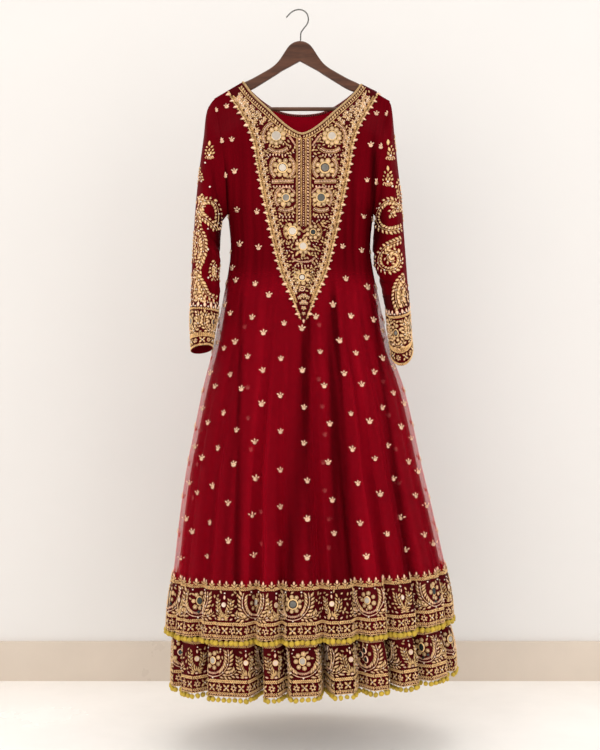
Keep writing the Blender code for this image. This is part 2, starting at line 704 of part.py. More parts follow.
def add_pompoms(name, edge_outside, edge_inside):
    """A narrow strip just below a hem, with a pompom under each of its stretches."""
    centre = [(a + b) / 2 for a, b in zip(edge_outside, edge_inside)]
    vertices, faces = [], []
    down = Vector((0, 0, -1))
    for k in range(POMPOMS_PER_HALF + 1):
        point, along = along_line(centre, k / POMPOMS_PER_HALF)
        aside = along.cross(down).normalized() * WALL
        for drop in (SEAM_GAP, SEAM_GAP + POMPOM_STRIP_HEIGHT):
            vertices += [point + aside + down * drop, point - aside + down * drop]
    for k in range(POMPOMS_PER_HALF):
        a, b = 4 * k, 4 * k + 4
        faces += [(a, b, b + 1, a + 1), (a, a + 2, b + 2, b), (a + 1, b + 1, b + 3, a + 3)]
        corners = [a + 2, a + 3, b + 3, b + 2]
        root = sum((vertices[c] for c in corners), Vector()) / 4
        along = (vertices[b] - vertices[a]).normalized()
        across = along.cross(down).normalized()
        waist = root + down * POMPOM_DROP * POMPOM_WAIST_SHARE
        first = len(vertices)
        for step, way in ((-1, 1), (-1, -1), (1, -1), (1, 1)):
            corner = along * step + across * way
            vertices.append(waist + corner * POMPOM_RADIUS * math.sqrt(0.5))
        vertices.append(root + down * POMPOM_DROP)
        for i in range(4):
            j = (i + 1) % 4
            faces.append((corners[i], corners[j], first + j, first + i))
            faces.append((first + i, first + j, first + 4))
    last = 4 * POMPOMS_PER_HALF
    faces += [(0, 1, 3, 2), (last, last + 2, last + 3, last + 1)]
    add_solid(name, vertices, faces, "pompom")


# ---------------------------------------------------------------- hanger
def arm_ring(x, top, bottom):
    """A section across the hanger's arm, with a crowned top and eased corners."""
    half, drop = HANGER_HALF_DEPTH, HANGER_SHOULDER_DROP
    outline = (
        (0.0, top),
        (half * 0.62, top - drop * 0.36),
        (half, top - drop),
        (half, bottom + drop * 0.5),
        (half * 0.6, bottom),
        (-half * 0.6, bottom),
        (-half, bottom + drop * 0.5),
        (-half, top - drop),
        (-half * 0.62, top - drop * 0.36),
    )
    return [Vector((HANGER_X + x, y, z)) for y, z in outline]


def add_hanger():
    stations = [(x, top, bottom) for x, top, bottom in HANGER_EDGES]
    for x in (0.1350, 0.1600, HANGER_BOSS_X - 0.0004, HANGER_BOSS_X, HANGER_ARM_END - 0.004, HANGER_ARM_END):
        top = shoulder_z(HANGER_X + x) - HANGER_CROWN_DROP
        bottom = top - HANGER_ARM_HEIGHT
        if x >= HANGER_BOSS_X:
            bottom = HANGER_BOSS_Z
        if x == HANGER_ARM_END:
            top, bottom = top - 0.003, bottom + 0.003
        stations.append((x, top, bottom))
    rings = [arm_ring(-x, top, bottom) for x, top, bottom in reversed(stations[1:])]
    rings += [arm_ring(x, top, bottom) for x, top, bottom in stations]
    swept("hanger_shoulders", rings, "wood")

    half = HANGER_BOSS_X - SEAM_GAP - 0.0004
    rings = []
    for x in (-half, half):
        angles = [2 * math.pi * k / BAR_SIDES for k in range(BAR_SIDES)]
        ring = [(BAR_RADIUS * math.cos(a), BAR_Z + BAR_RADIUS * math.sin(a)) for a in angles]
        rings.append([Vector((HANGER_X + x, y, z)) for y, z in ring])
    swept("hanger_bar", rings, "bar")


def smooth_route(points, steps):
    """A smooth line through the points, with that many stretches between two of them."""
    line = []
    for k in range(len(points) - 1):
        p0, p1 = points[max(0, k - 1)], points[k]
        p2, p3 = points[k + 1], points[min(len(points) - 1, k + 2)]
        for step in range(steps):
            t = step / steps
            a = (p2 - p0) * 0.5
            b = p0 - p1 * 2.5 + p2 * 2 - p3 * 0.5
            c = (p3 - p0) * 0.5 + (p1 - p2) * 1.5
            line.append(p1 + a * t + b * t * t + c * t * t * t)
    return [*line, points[-1]]


def add_hook():
    route = smooth_route([Vector((x, 0, z)) for x, z in HOOK_ROUTE], HOOK_STEPS)
    add_cord("hanger_hook", route, HOOK_WIRE_RADIUS, "steel")


# ---------------------------------------------------------------- the whole gown
def add_gown():
    necklines = []
    for name, start in (("front", 0.0), ("back", 1.0)):
        columns, rows = panel_grid(start)
        normals = panel_normals(columns, start, rows)
        inside = moved(rows, normals, -WALL)
        add_wall(f"outer_{name}", rows, inside, "net")
        border_row = len(rows) - 2
        add_border(f"hem_border_{name}", rows[border_row:], normals[border_row:])
        add_pompoms(f"hem_pompoms_{name}", rows[-1], inside[-1])
        neck = math.acos(NECK_SHARE) / math.pi
        on_neck = [k for k, place in enumerate(columns) if abs(place - start - 0.5) < 0.5 - neck + 1e-9]
        middles = [[(a + b) / 2 for a, b in zip(*pair)] for pair in zip(rows[:2], inside[:2])]
        necklines.append([[row[k] for k in on_neck] for row in middles])
        if name == "front":
            add_front_trim(columns, rows, normals)

        rows = under_grid(start)
        normals = square_ends(grid_normals(rows))
        inside = moved(rows, normals, -WALL)
        add_wall(f"under_{name}", rows, inside, "lining")
        border_row = UNDER_ROWS.index(UNDER_BORDER_TOP_Z)
        add_border(f"under_border_{name}", rows[border_row:], normals[border_row:])
        add_pompoms(f"under_pompoms_{name}", rows[-1], inside[-1])
    add_piping(necklines)
    add_sleeve("right", -1, SLEEVE_RIGHT_ARM)
    add_sleeve("left", 1, SLEEVE_LEFT_ARM)


def add_front_trim(columns, rows, normals):
    last = len(TOP_ROW_DROPS) + LEVEL_ROWS.index(YOKE_END_ROW_Z) + 1
    covered = slice(1, last)
    add_cut_shell("yoke", rows[covered], normals[covered], TRIM_LIFT, yoke_outline())
    above = 2 * TRIM_LIFT + TRIM_WALL
    add_cut_shell("placket", rows[covered], normals[covered], above, placket_outline())
    surface = Surface(columns, rows, normals)
    for number, (x, z, radius) in enumerate(MIRRORS, 1):
        add_mirror(number, YOKE_MIDDLE_X + x, z, radius, surface)


def main():
    for obj in list(bpy.data.objects):
        bpy.data.objects.remove(obj)
    add_gown()
    add_hanger()
    add_hook()


main()
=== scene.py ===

import math
import bpy
import numpy as np
from bpy.props import FloatProperty, FloatVectorProperty, PointerProperty
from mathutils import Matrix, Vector
from mathutils.kdtree import KDTree


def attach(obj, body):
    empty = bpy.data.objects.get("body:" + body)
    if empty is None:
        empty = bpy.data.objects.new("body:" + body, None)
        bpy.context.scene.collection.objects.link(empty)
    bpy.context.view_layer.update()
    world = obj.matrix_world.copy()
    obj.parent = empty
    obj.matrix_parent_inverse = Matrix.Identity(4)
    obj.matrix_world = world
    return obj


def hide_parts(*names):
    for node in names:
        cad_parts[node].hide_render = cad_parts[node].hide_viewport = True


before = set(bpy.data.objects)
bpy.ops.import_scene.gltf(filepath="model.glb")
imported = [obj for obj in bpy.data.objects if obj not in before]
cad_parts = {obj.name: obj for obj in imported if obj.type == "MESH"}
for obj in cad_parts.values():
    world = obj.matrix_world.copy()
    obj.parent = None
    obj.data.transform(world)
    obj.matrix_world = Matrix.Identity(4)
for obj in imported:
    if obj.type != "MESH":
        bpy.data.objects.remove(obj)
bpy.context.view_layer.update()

bl_info = {
    "name": "Anarkali Gown",
    "version": (1, 0, 0),
    "blender": (4, 5, 0),
    "location": "View3D > Sidebar > Gown",
    "description": "Cloth, embroidery and trims of an anarkali gown on its hanger",
    "category": "Object",
}

# ---- the gown's form, as its solids have it
HANGER_X = 0.003
NECK_HALF = 0.138
NECK_SHARE = 0.68
NECK_Z = -0.1695
SHOULDER_SLOPE = 0.59
ROLL_DROP = 0.006
ROLL_HALF = 0.0105
SPREAD = 0.16
SECTION_POWER = 0.85
FRONT_NECK_Z = -0.3
FRONT_NECK_POWER = 1.55
BACK_NECK_Z = -0.2345
BACK_NECK_POWER = 2.3
ARMPIT_Z = -0.471
ARMHOLE_HALF_DEPTH = 0.058
ARMHOLE_GAP = 0.0008
WAIST_Z = -0.55
BORDER_TOP_Z = -1.2955
HEM_Z = -1.404
UNDER_TOP_Z = -0.557
UNDER_BORDER_TOP_Z = -1.4
UNDER_HEM_Z = -1.526
UNDER_INSET = 0.002
UNDER_CLEARANCE = 0.009
UNDER_OPENS_Z = -0.76
HEM_TILT = 0.056
FOLD_GROWTH = 1.2

SECTIONS = (
    # z, half_width, front_depth, back_depth, middle_x
    (-0.16, 0.203, 0.056, 0.044, 0.008), (-0.205, 0.203, 0.057, 0.045, 0.008), (-0.344, 0.177, 0.062, 0.05, 0.007),
    (-0.471, 0.1675, 0.066, 0.052, 0.0045), (-0.55, 0.161, 0.06, 0.048, 0.0042), (-0.61, 0.168, 0.068, 0.054, 0.0048),
    (-0.668, 0.18, 0.08, 0.064, 0.0053), (-0.783, 0.2045, 0.104, 0.086, 0.0065), (-0.869, 0.2305, 0.124, 0.104, 0.0104),
    (-0.954, 0.25, 0.143, 0.122, 0.012), (-1.058, 0.2715, 0.163, 0.142, 0.0125), (-1.155, 0.29, 0.18, 0.16, 0.0169),
    (-1.273, 0.31, 0.198, 0.178, 0.0231), (-1.358, 0.3255, 0.208, 0.19, 0.0252), (-1.404, 0.329, 0.213, 0.195, 0.0252),
)

UNDER_SECTIONS = (
    # z, half_width, front_depth, back_depth, middle_x
    (-1.38, 0.3105, 0.194, 0.176, 0.025), (-1.404, 0.312, 0.195, 0.177, 0.0255), (-1.44, 0.3195, 0.201, 0.183, 0.03),
    (-1.487, 0.3255, 0.206, 0.188, 0.0335), (-1.526, 0.327, 0.208, 0.19, 0.0345),
)
# Places count round the gown: 0 to 1 across the front from the right arm's side, 1 to 2 across the back.
FOLDS = (
    # place, half_width, outer_depth, under_depth, start_z
    (0.115, 0.034, 0.014, 0.03, -0.8), (0.225, 0.03, 0.018, 0.04, -0.7), (0.375, 0.022, 0.028, 0.085, -0.64),
    (0.437, 0.018, 0.028, 0.042, -0.75), (0.525, 0.02, 0.022, 0.08, -0.66), (0.605, 0.026, 0.028, 0.045, -0.7),
    (0.68, 0.02, 0.026, 0.085, -0.66), (0.765, 0.026, 0.024, 0.04, -0.62), (0.885, 0.03, 0.016, 0.035, -0.8),
    (1.1, 0.032, 0.016, 0.03, -0.8), (1.2, 0.026, 0.024, 0.038, -0.66), (1.315, 0.026, 0.028, 0.034, -0.7),
    (1.4, 0.024, 0.026, 0.042, -0.62), (1.49, 0.024, 0.028, 0.034, -0.7), (1.575, 0.024, 0.022, 0.042, -0.64),
    (1.66, 0.026, 0.028, 0.034, -0.72), (1.77, 0.024, 0.024, 0.04, -0.64), (1.89, 0.032, 0.016, 0.03, -0.8),
)

SLEEVE_RIGHT_ARM = (
    # out_x, out_z, in_x, in_z, half_depth, forward, front_drop
    (-0.2115, -0.233, -0.168, -0.477, 0.058, 0.0, 0.0), (-0.2188, -0.2934, -0.173, -0.4838, 0.062, 0.002, 0.0),
    (-0.2275, -0.3627, -0.1772, -0.4977, 0.064, 0.006, 0.0), (-0.235, -0.4366, -0.1796, -0.5208, 0.062, 0.012, 0.0),
    (-0.2402, -0.5174, -0.1808, -0.5623, 0.058, 0.018, 0.0), (-0.244, -0.5983, -0.1815, -0.6168, 0.053, 0.026, 0.0),
    (-0.2455, -0.68, -0.1822, -0.686, 0.047, 0.034, -0.002), (-0.245, -0.7369, -0.1905, -0.7369, 0.042, 0.044, -0.004),
    (-0.2425, -0.7895, -0.1965, -0.78, 0.038, 0.05, -0.008),
)

SLEEVE_LEFT_ARM = (
    # out_x, out_z, in_x, in_z, half_depth, forward, front_drop
    (0.215, -0.23, 0.1765, -0.477, 0.058, 0.0, 0.0), (0.2205, -0.2888, 0.1755, -0.4874, 0.062, 0.002, 0.0),
    (0.228, -0.3604, 0.1738, -0.5059, 0.063, 0.004, 0.0), (0.2356, -0.432, 0.1722, -0.5313, 0.06, 0.008, 0.0),
    (0.2408, -0.5059, 0.1715, -0.562, 0.056, 0.012, 0.0), (0.246, -0.5798, 0.1825, -0.6122, 0.052, 0.018, 0.002),
    (0.2502, -0.6491, 0.196, -0.6607, 0.047, 0.024, 0.005), (0.254, -0.7253, 0.2045, -0.7369, 0.042, 0.03, 0.018),
    (0.259, -0.7831, 0.2118, -0.796, 0.038, 0.034, 0.032),
)

CUFF_FIRST_RING = 7

YOKE_EDGE = (
    # z, half_width
    (-0.1908, 0.17), (-0.2941, 0.1164), (-0.3734, 0.0999), (-0.4453, 0.0861), (-0.5274, 0.0683), (-0.6108, 0.0474),
    (-0.6718, 0.0214), (-0.72, 0.003),
)

YOKE_MIDDLE_X = 0.011
PLACKET_END_Z = -0.508

HANGER_EDGES = (
    # x, top_z, bottom_z
    (0.0, -0.0709, -0.1178), (0.0125, -0.0735, -0.1245), (0.0243, -0.0813, -0.131), (0.034, -0.0945, -0.1362),
    (0.043, -0.1085, -0.1412), (0.053, -0.1215, -0.148), (0.066, -0.1325, -0.1562), (0.085, -0.144, -0.168),
    (0.11, -0.1578, -0.1828), (0.135, -0.1697, -0.1922), (0.16, -0.1845, -0.207), (0.18, -0.1963, -0.237),
    (0.194, -0.2045, -0.237), (0.198, -0.2099, -0.234),
)

HANGER_HALF_DEPTH = 0.0058
BAR_RADIUS = 0.0046
BAR_Z = -0.2285
HOOK_WIRE_RADIUS = 0.0016

HOOK_ROUTE = (
    # x, z
    (0.0044, -0.0701), (0.0044, -0.06), (0.0056, -0.0515), (0.0115, -0.0425), (0.0182, -0.034), (0.0217, -0.026),
    (0.0222, -0.019), (0.0202, -0.0105), (0.0155, -0.004), (0.0085, 0.0003), (0.0, 0.0016), (-0.0085, -0.0001),
    (-0.016, -0.004), (-0.0225, -0.01), (-0.0286, -0.0169),
)

HANGER_SHOULDER_DROP = 0.0055

# ---- fine creases, which only the cloth has
NET_CREASES = (
    # place, half_width, depth, start_z: the sheer layer's narrow folds, inwards where depth is above zero
    (0.06, 0.01, 0.003, -0.95), (0.17, 0.012, 0.004, -0.85), (0.285, 0.011, 0.005, -0.75), (0.33, 0.008, 0.004, -0.9),
    (0.408, 0.008, -0.004, -0.72), (0.48, 0.01, 0.005, -0.85), (0.565, 0.009, -0.004, -0.8), (0.645, 0.01, 0.005, -0.9),
    (0.72, 0.01, 0.005, -0.72), (0.82, 0.012, 0.004, -0.88), (0.94, 0.01, 0.003, -0.95), (1.05, 0.01, 0.003, -0.95),
    (1.15, 0.012, 0.004, -0.85), (1.255, 0.01, 0.005, -0.78), (1.36, 0.008, -0.004, -0.9), (1.445, 0.009, 0.005, -0.72),
    (1.532, 0.009, -0.004, -0.85), (1.618, 0.01, 0.005, -0.8), (1.715, 0.01, 0.005, -0.9), (1.83, 0.012, 0.004, -0.75),
    (1.95, 0.01, 0.003, -0.95),
)


# ---- where the skirt lies doubled, with painted shade in its folds and painted highlight between them
FOLD_SHADE_TOP_Z, FOLD_SHADE_LOW_Z, FOLD_SHADE_START_Z = -0.77, -1.22, -0.6
FOLD_SHADE_SPREAD = 1.6

BODICE_FOLD_SHADE = (
    # x, half width, top z, bottom z, depth: painted shade of soft upright folds above the waist, painted highlight
    # where depth is below zero
    (-0.196, 0.014, -0.33, -0.56, 0.95), (-0.168, 0.018, -0.33, -0.53, 1.8), (0.17, 0.013, -0.25, -0.49, 0.9),
    (-0.158, 0.016, -0.22, -0.64, -0.3), (-0.128, 0.01, -0.25, -0.76, 0.35), (-0.112, 0.008, -0.27, -0.76, -0.2),
    (0.122, 0.01, -0.26, -0.7, 0.45), (0.146, 0.012, -0.24, -0.64, -0.15), (0.168, 0.013, -0.3, -0.62, 0.55),
    (0.192, 0.014, -0.3, -0.56, 0.8), (-0.149, 0.008, -0.3, -0.64, 0.45), (-0.139, 0.007, -0.42, -0.78, 0.4),
    (-0.096, 0.007, -0.44, -0.8, 0.3), (0.104, 0.008, -0.33, -0.78, 0.4), (0.134, 0.007, -0.3, -0.7, -0.35),
    (0.156, 0.008, -0.36, -0.74, 0.45),
)

BUNCHES_AND_SHADE = (
    # x at the two heights, half width to the left and right at the upper one, depth (doubled net and painted shade
    # above zero, painted highlight below zero)
    (-0.255, -0.268, 0.05, 0.05, -0.3), (-0.147, -0.152, 0.018, 0.02, 0.3), (-0.131, -0.134, 0.008, 0.01, 0.75),
    (-0.085, -0.088, 0.02, 0.024, -0.25), (0.016, -0.012, 0.022, 0.022, 0.85), (0.021, 0.024, 0.008, 0.01, 0.55),
    (0.074, 0.08, 0.016, 0.02, 0.9), (0.086, 0.108, 0.012, 0.01, 0.95), (0.13, 0.152, 0.014, 0.016, -0.35),
    (0.178, 0.231, 0.01, 0.012, 0.85), (0.215, 0.268, 0.016, 0.018, -0.15),
)


# ---- reading the form
def unit(vectors):
    """The same ways with a length of one."""
    return vectors / np.maximum(np.linalg.norm(vectors, axis=-1, keepdims=True), 1e-12)


def closed(line):
    return np.vstack([line, line[:1]])


def travel_of(line):
    """How far along a line of points each of them lies."""
    return np.concatenate([[0], np.cumsum(np.linalg.norm(np.diff(line, axis=0), axis=1))])


def read_line(line, travel, wanted):
    """Points of a line that lie that far along it."""
    return np.stack([np.interp(wanted, travel, values) for values in line.T], axis=1)


def hermite(share, high, rate_high, low, rate_low):
    """A smooth way from high to low by its rates at both ends."""
    square, cube = share**2, share**3
    return (
        (2 * cube - 3 * square + 1) * high
        + (cube - 2 * square + share) * rate_high
        + (3 * square - 2 * cube) * low
        + (cube - square) * rate_low
    )


def smooth_read(table, z, column):
    """A column of a table whose first column is a falling z, read on a smooth curve through its rows."""
    rows = np.asarray(table, float)
    heights, values = rows[:, 0], rows[:, column]
    z = np.clip(z, heights[-1], heights[0])
    last = len(rows) - 2
    row = np.clip(np.searchsorted(-heights, -z, side="left") - 1, 0, last)
    before, after = np.maximum(row - 1, 0), np.minimum(row + 2, last + 1)
    high, low = values[row], values[row + 1]
    span = heights[row] - heights[row + 1]
    rate_high = (low - values[before]) / np.maximum(heights[before] - heights[row + 1], span) * span
    rate_low = (values[after] - high) / np.maximum(heights[row] - heights[after], span) * span
    return hermite((heights[row] - z) / span, high, rate_high, low, rate_low)


def neck_sizes():
    """The gown's middle and its half width at the height of the neck's sides."""
    return smooth_read(SECTIONS, NECK_Z, 4), smooth_read(SECTIONS, NECK_Z, 1)


def eased(share):
    share = np.clip(share, 0.0, 1.0)
    return share * share * (3 - 2 * share)


def shoulder_z(x):
    return NECK_Z - SHOULDER_SLOPE * (np.abs(x - HANGER_X) - NECK_HALF)


def bump(place, middle, half_width):
    """A soft ridge round a place: 1 at its middle, 0 from half_width away."""
    away = np.minimum(np.abs(place - middle) / half_width, 1.0)
    return np.cos(away * math.pi / 2) ** 2


def fold_pull(place, z, is_under):
    """How far the folds pull the cloth in."""
    pulled = np.zeros(np.broadcast(place, z).shape)
    for middle, half_width, outer_depth, under_depth, start_z in FOLDS:
        hem_z, depth = (UNDER_HEM_Z, under_depth) if is_under else (HEM_Z, outer_depth)
        grown = np.clip((start_z - z) / (start_z - hem_z), 0, None) ** FOLD_GROWTH
        pulled += depth * grown * bump(place, middle, half_width)
    if not is_under:
        for middle, half_width, depth, start_z in NET_CREASES:
            grown = np.clip((start_z - z) / (start_z - HEM_Z), 0, None)
            sway = 0.006 * np.sin(z * 9 + middle * 40)
            pulled += depth * grown * bump(place, middle + sway, half_width)
    return pulled


def bunched_and_shaded(points, place, z):
    """Net doubled in folds, and painted fold shade for the cloth's colour: up to 1 in the fullest folds, below zero a
    painted highlight where it is smooth.
    """
    share = np.clip((FOLD_SHADE_TOP_Z - z) / (FOLD_SHADE_TOP_Z - FOLD_SHADE_LOW_Z), -0.3, 1.4)
    front = np.zeros(z.shape)
    for top_x, low_x, left, right, depth in BUNCHES_AND_SHADE:
        away = points[..., 0] - (top_x + (low_x - top_x) * share)
        half = np.where(away < 0, left, right) * (1 + (FOLD_SHADE_SPREAD - 1) * share)
        front += depth * bump(away / half, 0.0, 1.0)
    back = fold_pull(place, z, False) / 0.026 * 0.8 - 0.25
    made = np.where(place < 1, front, back) * eased((FOLD_SHADE_START_Z - z) / 0.12)
    for x, half, top, bottom, depth in BODICE_FOLD_SHADE:
        made += depth * bump(points[..., 0], x, half) * bump(z, (top + bottom) / 2, (top - bottom) / 2)
    return np.clip(made, -1, 1)


def tilted(x, z, middle):
    share = np.clip((WAIST_Z - z) / (WAIST_Z - UNDER_HEM_Z), 0, None)
    return z + HEM_TILT * share * share * (x - middle)


def ring_point(place, z, sizes, pulled):
    """Points of level sections, at places round the gown."""
    half_width, front_depth, back_depth, middle = sizes
    across, ahead = -np.cos(math.pi * place), np.sin(math.pi * place)
    depth = np.where(ahead >= 0, front_depth, back_depth)
    x = half_width * across
    y = -depth * np.sign(ahead) * np.abs(ahead) ** SECTION_POWER
    out_x, out_y = across / half_width, -ahead / depth
    length = np.hypot(out_x, out_y)
    x, y = x - out_x / length * pulled, y - out_y / length * pulled
    return np.stack([middle + x, y, tilted(middle + x, z, middle)], axis=-1)


def sizes_at(z):
    return [smooth_read(SECTIONS, z, column) for column in (1, 2, 3, 4)]


def half_of(found, start):
    """Places kept inside their own half of the gown."""
    return np.minimum(found, 1 - 1e-7) if start == 0 else np.maximum(found, 1 + 1e-7)


def sided(place):
    """Which side of the gown a place lies on: -1 on the right arm's, 1 on the left arm's."""
    return np.where(np.cos(math.pi * place) > 0, -1, 1)


def as_grids(*numbers):
    return np.broadcast_arrays(*(np.asarray(number, float) for number in numbers))


def outer_point(place, z):
    """Points on the outside of the outer layer. Places from 0 to 1 are the front's."""
    place, z = as_grids(place, z)
    is_front = place < 1 + 1e-9
    sizes = sizes_at(z)
    _, front_depth, back_depth, middle = sizes
    points = ring_point(place, z, sizes, fold_pull(place, z, False))
    ahead = np.sin(math.pi * place)
    depth = np.where(is_front, front_depth, back_depth)
    tip_z = shoulder_z(middle + sided(place) * smooth_read(SECTIONS, NECK_Z, 1))
    hole_middle, hole_half = (tip_z + ARMPIT_Z) / 2, (tip_z - ARMPIT_Z) / 2
    high = np.minimum(1.0, np.abs(z - hole_middle) / hole_half)
    edge = np.where(z < tip_z, ARMHOLE_HALF_DEPTH * np.sqrt(1 - high * high), 0.0)
    full = edge + (depth - edge) * np.abs(ahead) ** SECTION_POWER
    drop = np.maximum(0.0, shoulder_z(points[..., 0]) - z)
    turned = np.maximum(0.0, 1 - drop / ROLL_DROP)
    rolled = ROLL_HALF * np.sqrt(1 - turned * turned) + full * eased(drop / SPREAD)
    y = np.minimum(full, rolled) * np.where(is_front, -1, 1)
    points[..., 1] = np.where(z > ARMPIT_Z, y, points[..., 1])
    return points


def under_point(place, z):
    """Points on the outside of the under layer."""
    place, z = as_grids(place, z)
    opened = eased((UNDER_TOP_Z - z) / (UNDER_TOP_Z - UNDER_OPENS_Z))
    inset = UNDER_INSET + UNDER_CLEARANCE * opened
    half_width, front_depth, back_depth, middle = sizes_at(z)
    hidden = (half_width - inset, front_depth - inset, back_depth - inset, middle)
    shown = [smooth_read(UNDER_SECTIONS, z, column) for column in (1, 2, 3, 4)]
    is_hidden = z > UNDER_SECTIONS[0][0]
    sizes = [np.where(is_hidden, a, b) for a, b in zip(hidden, shown)]
    return ring_point(place, z, sizes, fold_pull(place, z, True))


def top_z(place, is_front):
    """Height of a panel's top edge."""
    share = np.abs(np.cos(math.pi * place)) / NECK_SHARE
    side = sided(place)
    middle, half_width = neck_sizes()
    on_shoulder = shoulder_z(middle + side * half_width * share * NECK_SHARE)
    neck_top = shoulder_z(middle + side * half_width * NECK_SHARE)
    low, power = (FRONT_NECK_Z, FRONT_NECK_POWER) if is_front else (BACK_NECK_Z, BACK_NECK_POWER)
    on_neck = neck_top + (low - neck_top) * (1 - np.minimum(share, 1.0) ** power)
    return np.where(share >= 1 - 1e-9, on_shoulder, on_neck)


SLEEVE_CREASES = (
    # v, half_height, depth, u of the middle
    (0.16, 0.045, 0.0035, 0.42), (0.3, 0.04, -0.003, 0.3), (0.45, 0.03, 0.004, 0.45),
    (0.52, 0.025, -0.003, 0.38), (0.6, 0.028, 0.004, 0.5), (0.7, 0.025, -0.0025, 0.35),
    (0.78, 0.022, 0.003, 0.55),
)


class Sleeve:
    """A sleeve's outside: u runs round it from its outer edge, v from the armhole to the cuff."""

    RING_POINTS = 72

    def __init__(self, side, table):
        angles = np.linspace(0, 2 * math.pi, self.RING_POINTS, endpoint=False)
        rings = [self.armhole(side, angles)]
        for out_x, out_z, in_x, in_z, half_depth, forward, front_drop in table:
            middle = np.array([(out_x + in_x) / 2, -forward, (out_z + in_z) / 2])
            half = np.array([(out_x - in_x) / 2, 0, (out_z - in_z) / 2])
            aside = np.array([0, -half_depth, -front_drop]) * np.sin(angles)[:, None]
            rings.append(middle + half * np.cos(angles)[:, None] + aside)
        # Both run the same way round when seen from the cuff, so that their normals point out.
        if side > 0:
            rings = [np.vstack([ring[:1], ring[:0:-1]]) for ring in rings]
        self.side = side
        self.rings = np.array([self.evened(ring) for ring in rings])
        self.middles = self.rings.mean(axis=1)
        travel = travel_of(self.middles)
        self.length = travel[-1]
        self.stations = travel / self.length

    @staticmethod
    def armhole(side, angles):
        middle, half_width = neck_sizes()
        tip_z = shoulder_z(middle + side * half_width)
        z = (tip_z + ARMPIT_Z) / 2 + (tip_z - ARMPIT_Z) / 2 * np.cos(angles)
        is_front = angles <= math.pi + 1e-9
        front, back = (0.0, 2.0) if side < 0 else (1.0, 1.0 + 1e-6)
        ring = outer_point(np.where(is_front, front, back), np.minimum(z, tip_z))
        ring[:, 0] += side * ARMHOLE_GAP
        return ring

    @staticmethod
    def evened(ring):
        """The ring again, with its points at even distances."""
        loop = closed(ring)
        travel = travel_of(loop)
        return read_line(loop, travel, np.linspace(0, travel[-1], len(ring), endpoint=False))

    def point(self, u, v):
        u, v = as_grids(u, v)
        count, last = self.RING_POINTS, len(self.rings) - 2
        low = np.clip(np.searchsorted(self.stations, v, side="right") - 1, 0, last)
        turn = (u % 1.0) * count
        left = np.floor(turn).astype(int) % count
        part = (turn - np.floor(turn))[..., None]

        def ring(k):
            k = np.clip(k, 0, last + 1)
            return self.rings[k, left] * (1 - part) + self.rings[k, (left + 1) % count] * part

        def station(k):
            return self.stations[np.clip(k, 0, last + 1)][..., None]

        p0, p1, p2, p3 = (ring(low + k) for k in (-1, 0, 1, 2))
        before, here, there, after = (station(low + k) for k in (-1, 0, 1, 2))
        span = there - here
        m1 = (p2 - p0) / np.maximum(there - before, span) * span
        m2 = (p3 - p1) / np.maximum(after - here, span) * span
        points = hermite((v[..., None] - here) / span, p1, m1, p2, m2)
        return points + self.creases(u, v, points)

    def creases(self, u, v, points):
        """Soft folds that run across the sleeve at the elbow and lengthwise below the shoulder."""
        middle = np.stack([np.interp(v, self.stations, self.middles[:, a]) for a in range(3)], axis=-1)
        slope = v + 0.05 * np.sin(2 * math.pi * u)
        depth = np.zeros(u.shape)
        for at, half, deep, where in SLEEVE_CREASES:
            depth += deep * bump(slope, at, half) * bump(u, where, 0.3)
        for where, deep in ((0.3, 0.003), (0.42, -0.0025), (0.62, 0.0025), (0.8, -0.002)):
            depth += deep * bump(u, where + 0.05 * v, 0.05) * eased(v / 0.12) * eased((0.86 - v) / 0.2)
        return -unit(points - middle) * (depth * eased(v / 0.05) * eased((0.9 - v) / 0.06))[..., None]


def frames_on(surface, u, v, up=1.0, step=1e-4):
    """Points of a surface, with the unit ways along it, up it and out of it."""
    points = surface(u, v)
    along = unit(surface(u + step, v) - surface(u - step, v))
    out = unit(np.cross(along, (surface(u, v + step) - surface(u, v - step)) * up))
    return points, along, np.cross(out, along), out


# ---- meshes
def grid_normals(grid, is_closed=False):
    """The outward normal at each point of a grid whose rows go down and whose columns go round."""
    across = np.roll(grid, -1, axis=1) - np.roll(grid, 1, axis=1) if is_closed else np.gradient(grid, axis=1)
    return unit(np.cross(np.gradient(grid, axis=0), across))


def quads(numbers):
    """Faces between the neighbours of a grid of point numbers."""
    corners = numbers[:-1, :-1], numbers[1:, :-1], numbers[1:, 1:], numbers[:-1, 1:]
    return np.stack(corners, axis=-1).reshape(-1, 4)


def grid_travel(grid, axis):
    """How far along its row or column each point of a grid lies."""
    steps = np.linalg.norm(np.diff(grid, axis=axis), axis=-1)
    return np.cumsum(np.insert(steps, 0, 0.0, axis=axis), axis=axis)


def link_up(name, data):
    """An object in the scene for a mesh, lamp or camera."""
    made = bpy.data.objects.new(name, data)
    bpy.context.scene.collection.objects.link(made)
    return made


def new_piece(name, vertices, faces, materials, face_materials=None, sharp_from=50):
    """A smooth piece, with an edge where two faces meet at more than an angle."""
    mesh = bpy.data.meshes.new(name)
    mesh.from_pydata(np.asarray(vertices).tolist(), [], faces.tolist() if hasattr(faces, "tolist") else faces)
    for material in materials:
        mesh.materials.append(material)
    if face_materials is not None:
        mesh.polygons.foreach_set("material_index", np.asarray(face_materials, np.int32))
    mesh.shade_smooth()
    mesh.set_sharp_from_angle(angle=math.radians(sharp_from))
    return link_up(name, mesh)


def point_values(mesh, name, values, kind="FLOAT"):
    """A number, or with another kind a whole number or a vector, for each point of a mesh."""
    field, number = {
        "FLOAT": ("value", np.float32), "INT": ("value", np.int32), "FLOAT_VECTOR": ("vector", np.float32),
    }[kind]
    attribute = mesh.attributes.new(name, kind, "POINT")
    attribute.data.foreach_set(field, np.ascontiguousarray(values, number).ravel())


def add_values(piece, name, values):
    """A number for each point of a piece, or for both faces of a wall, which its material reads."""
    values = np.ravel(values)
    point_values(piece.data, name, np.tile(values, len(piece.data.vertices) // len(values)))


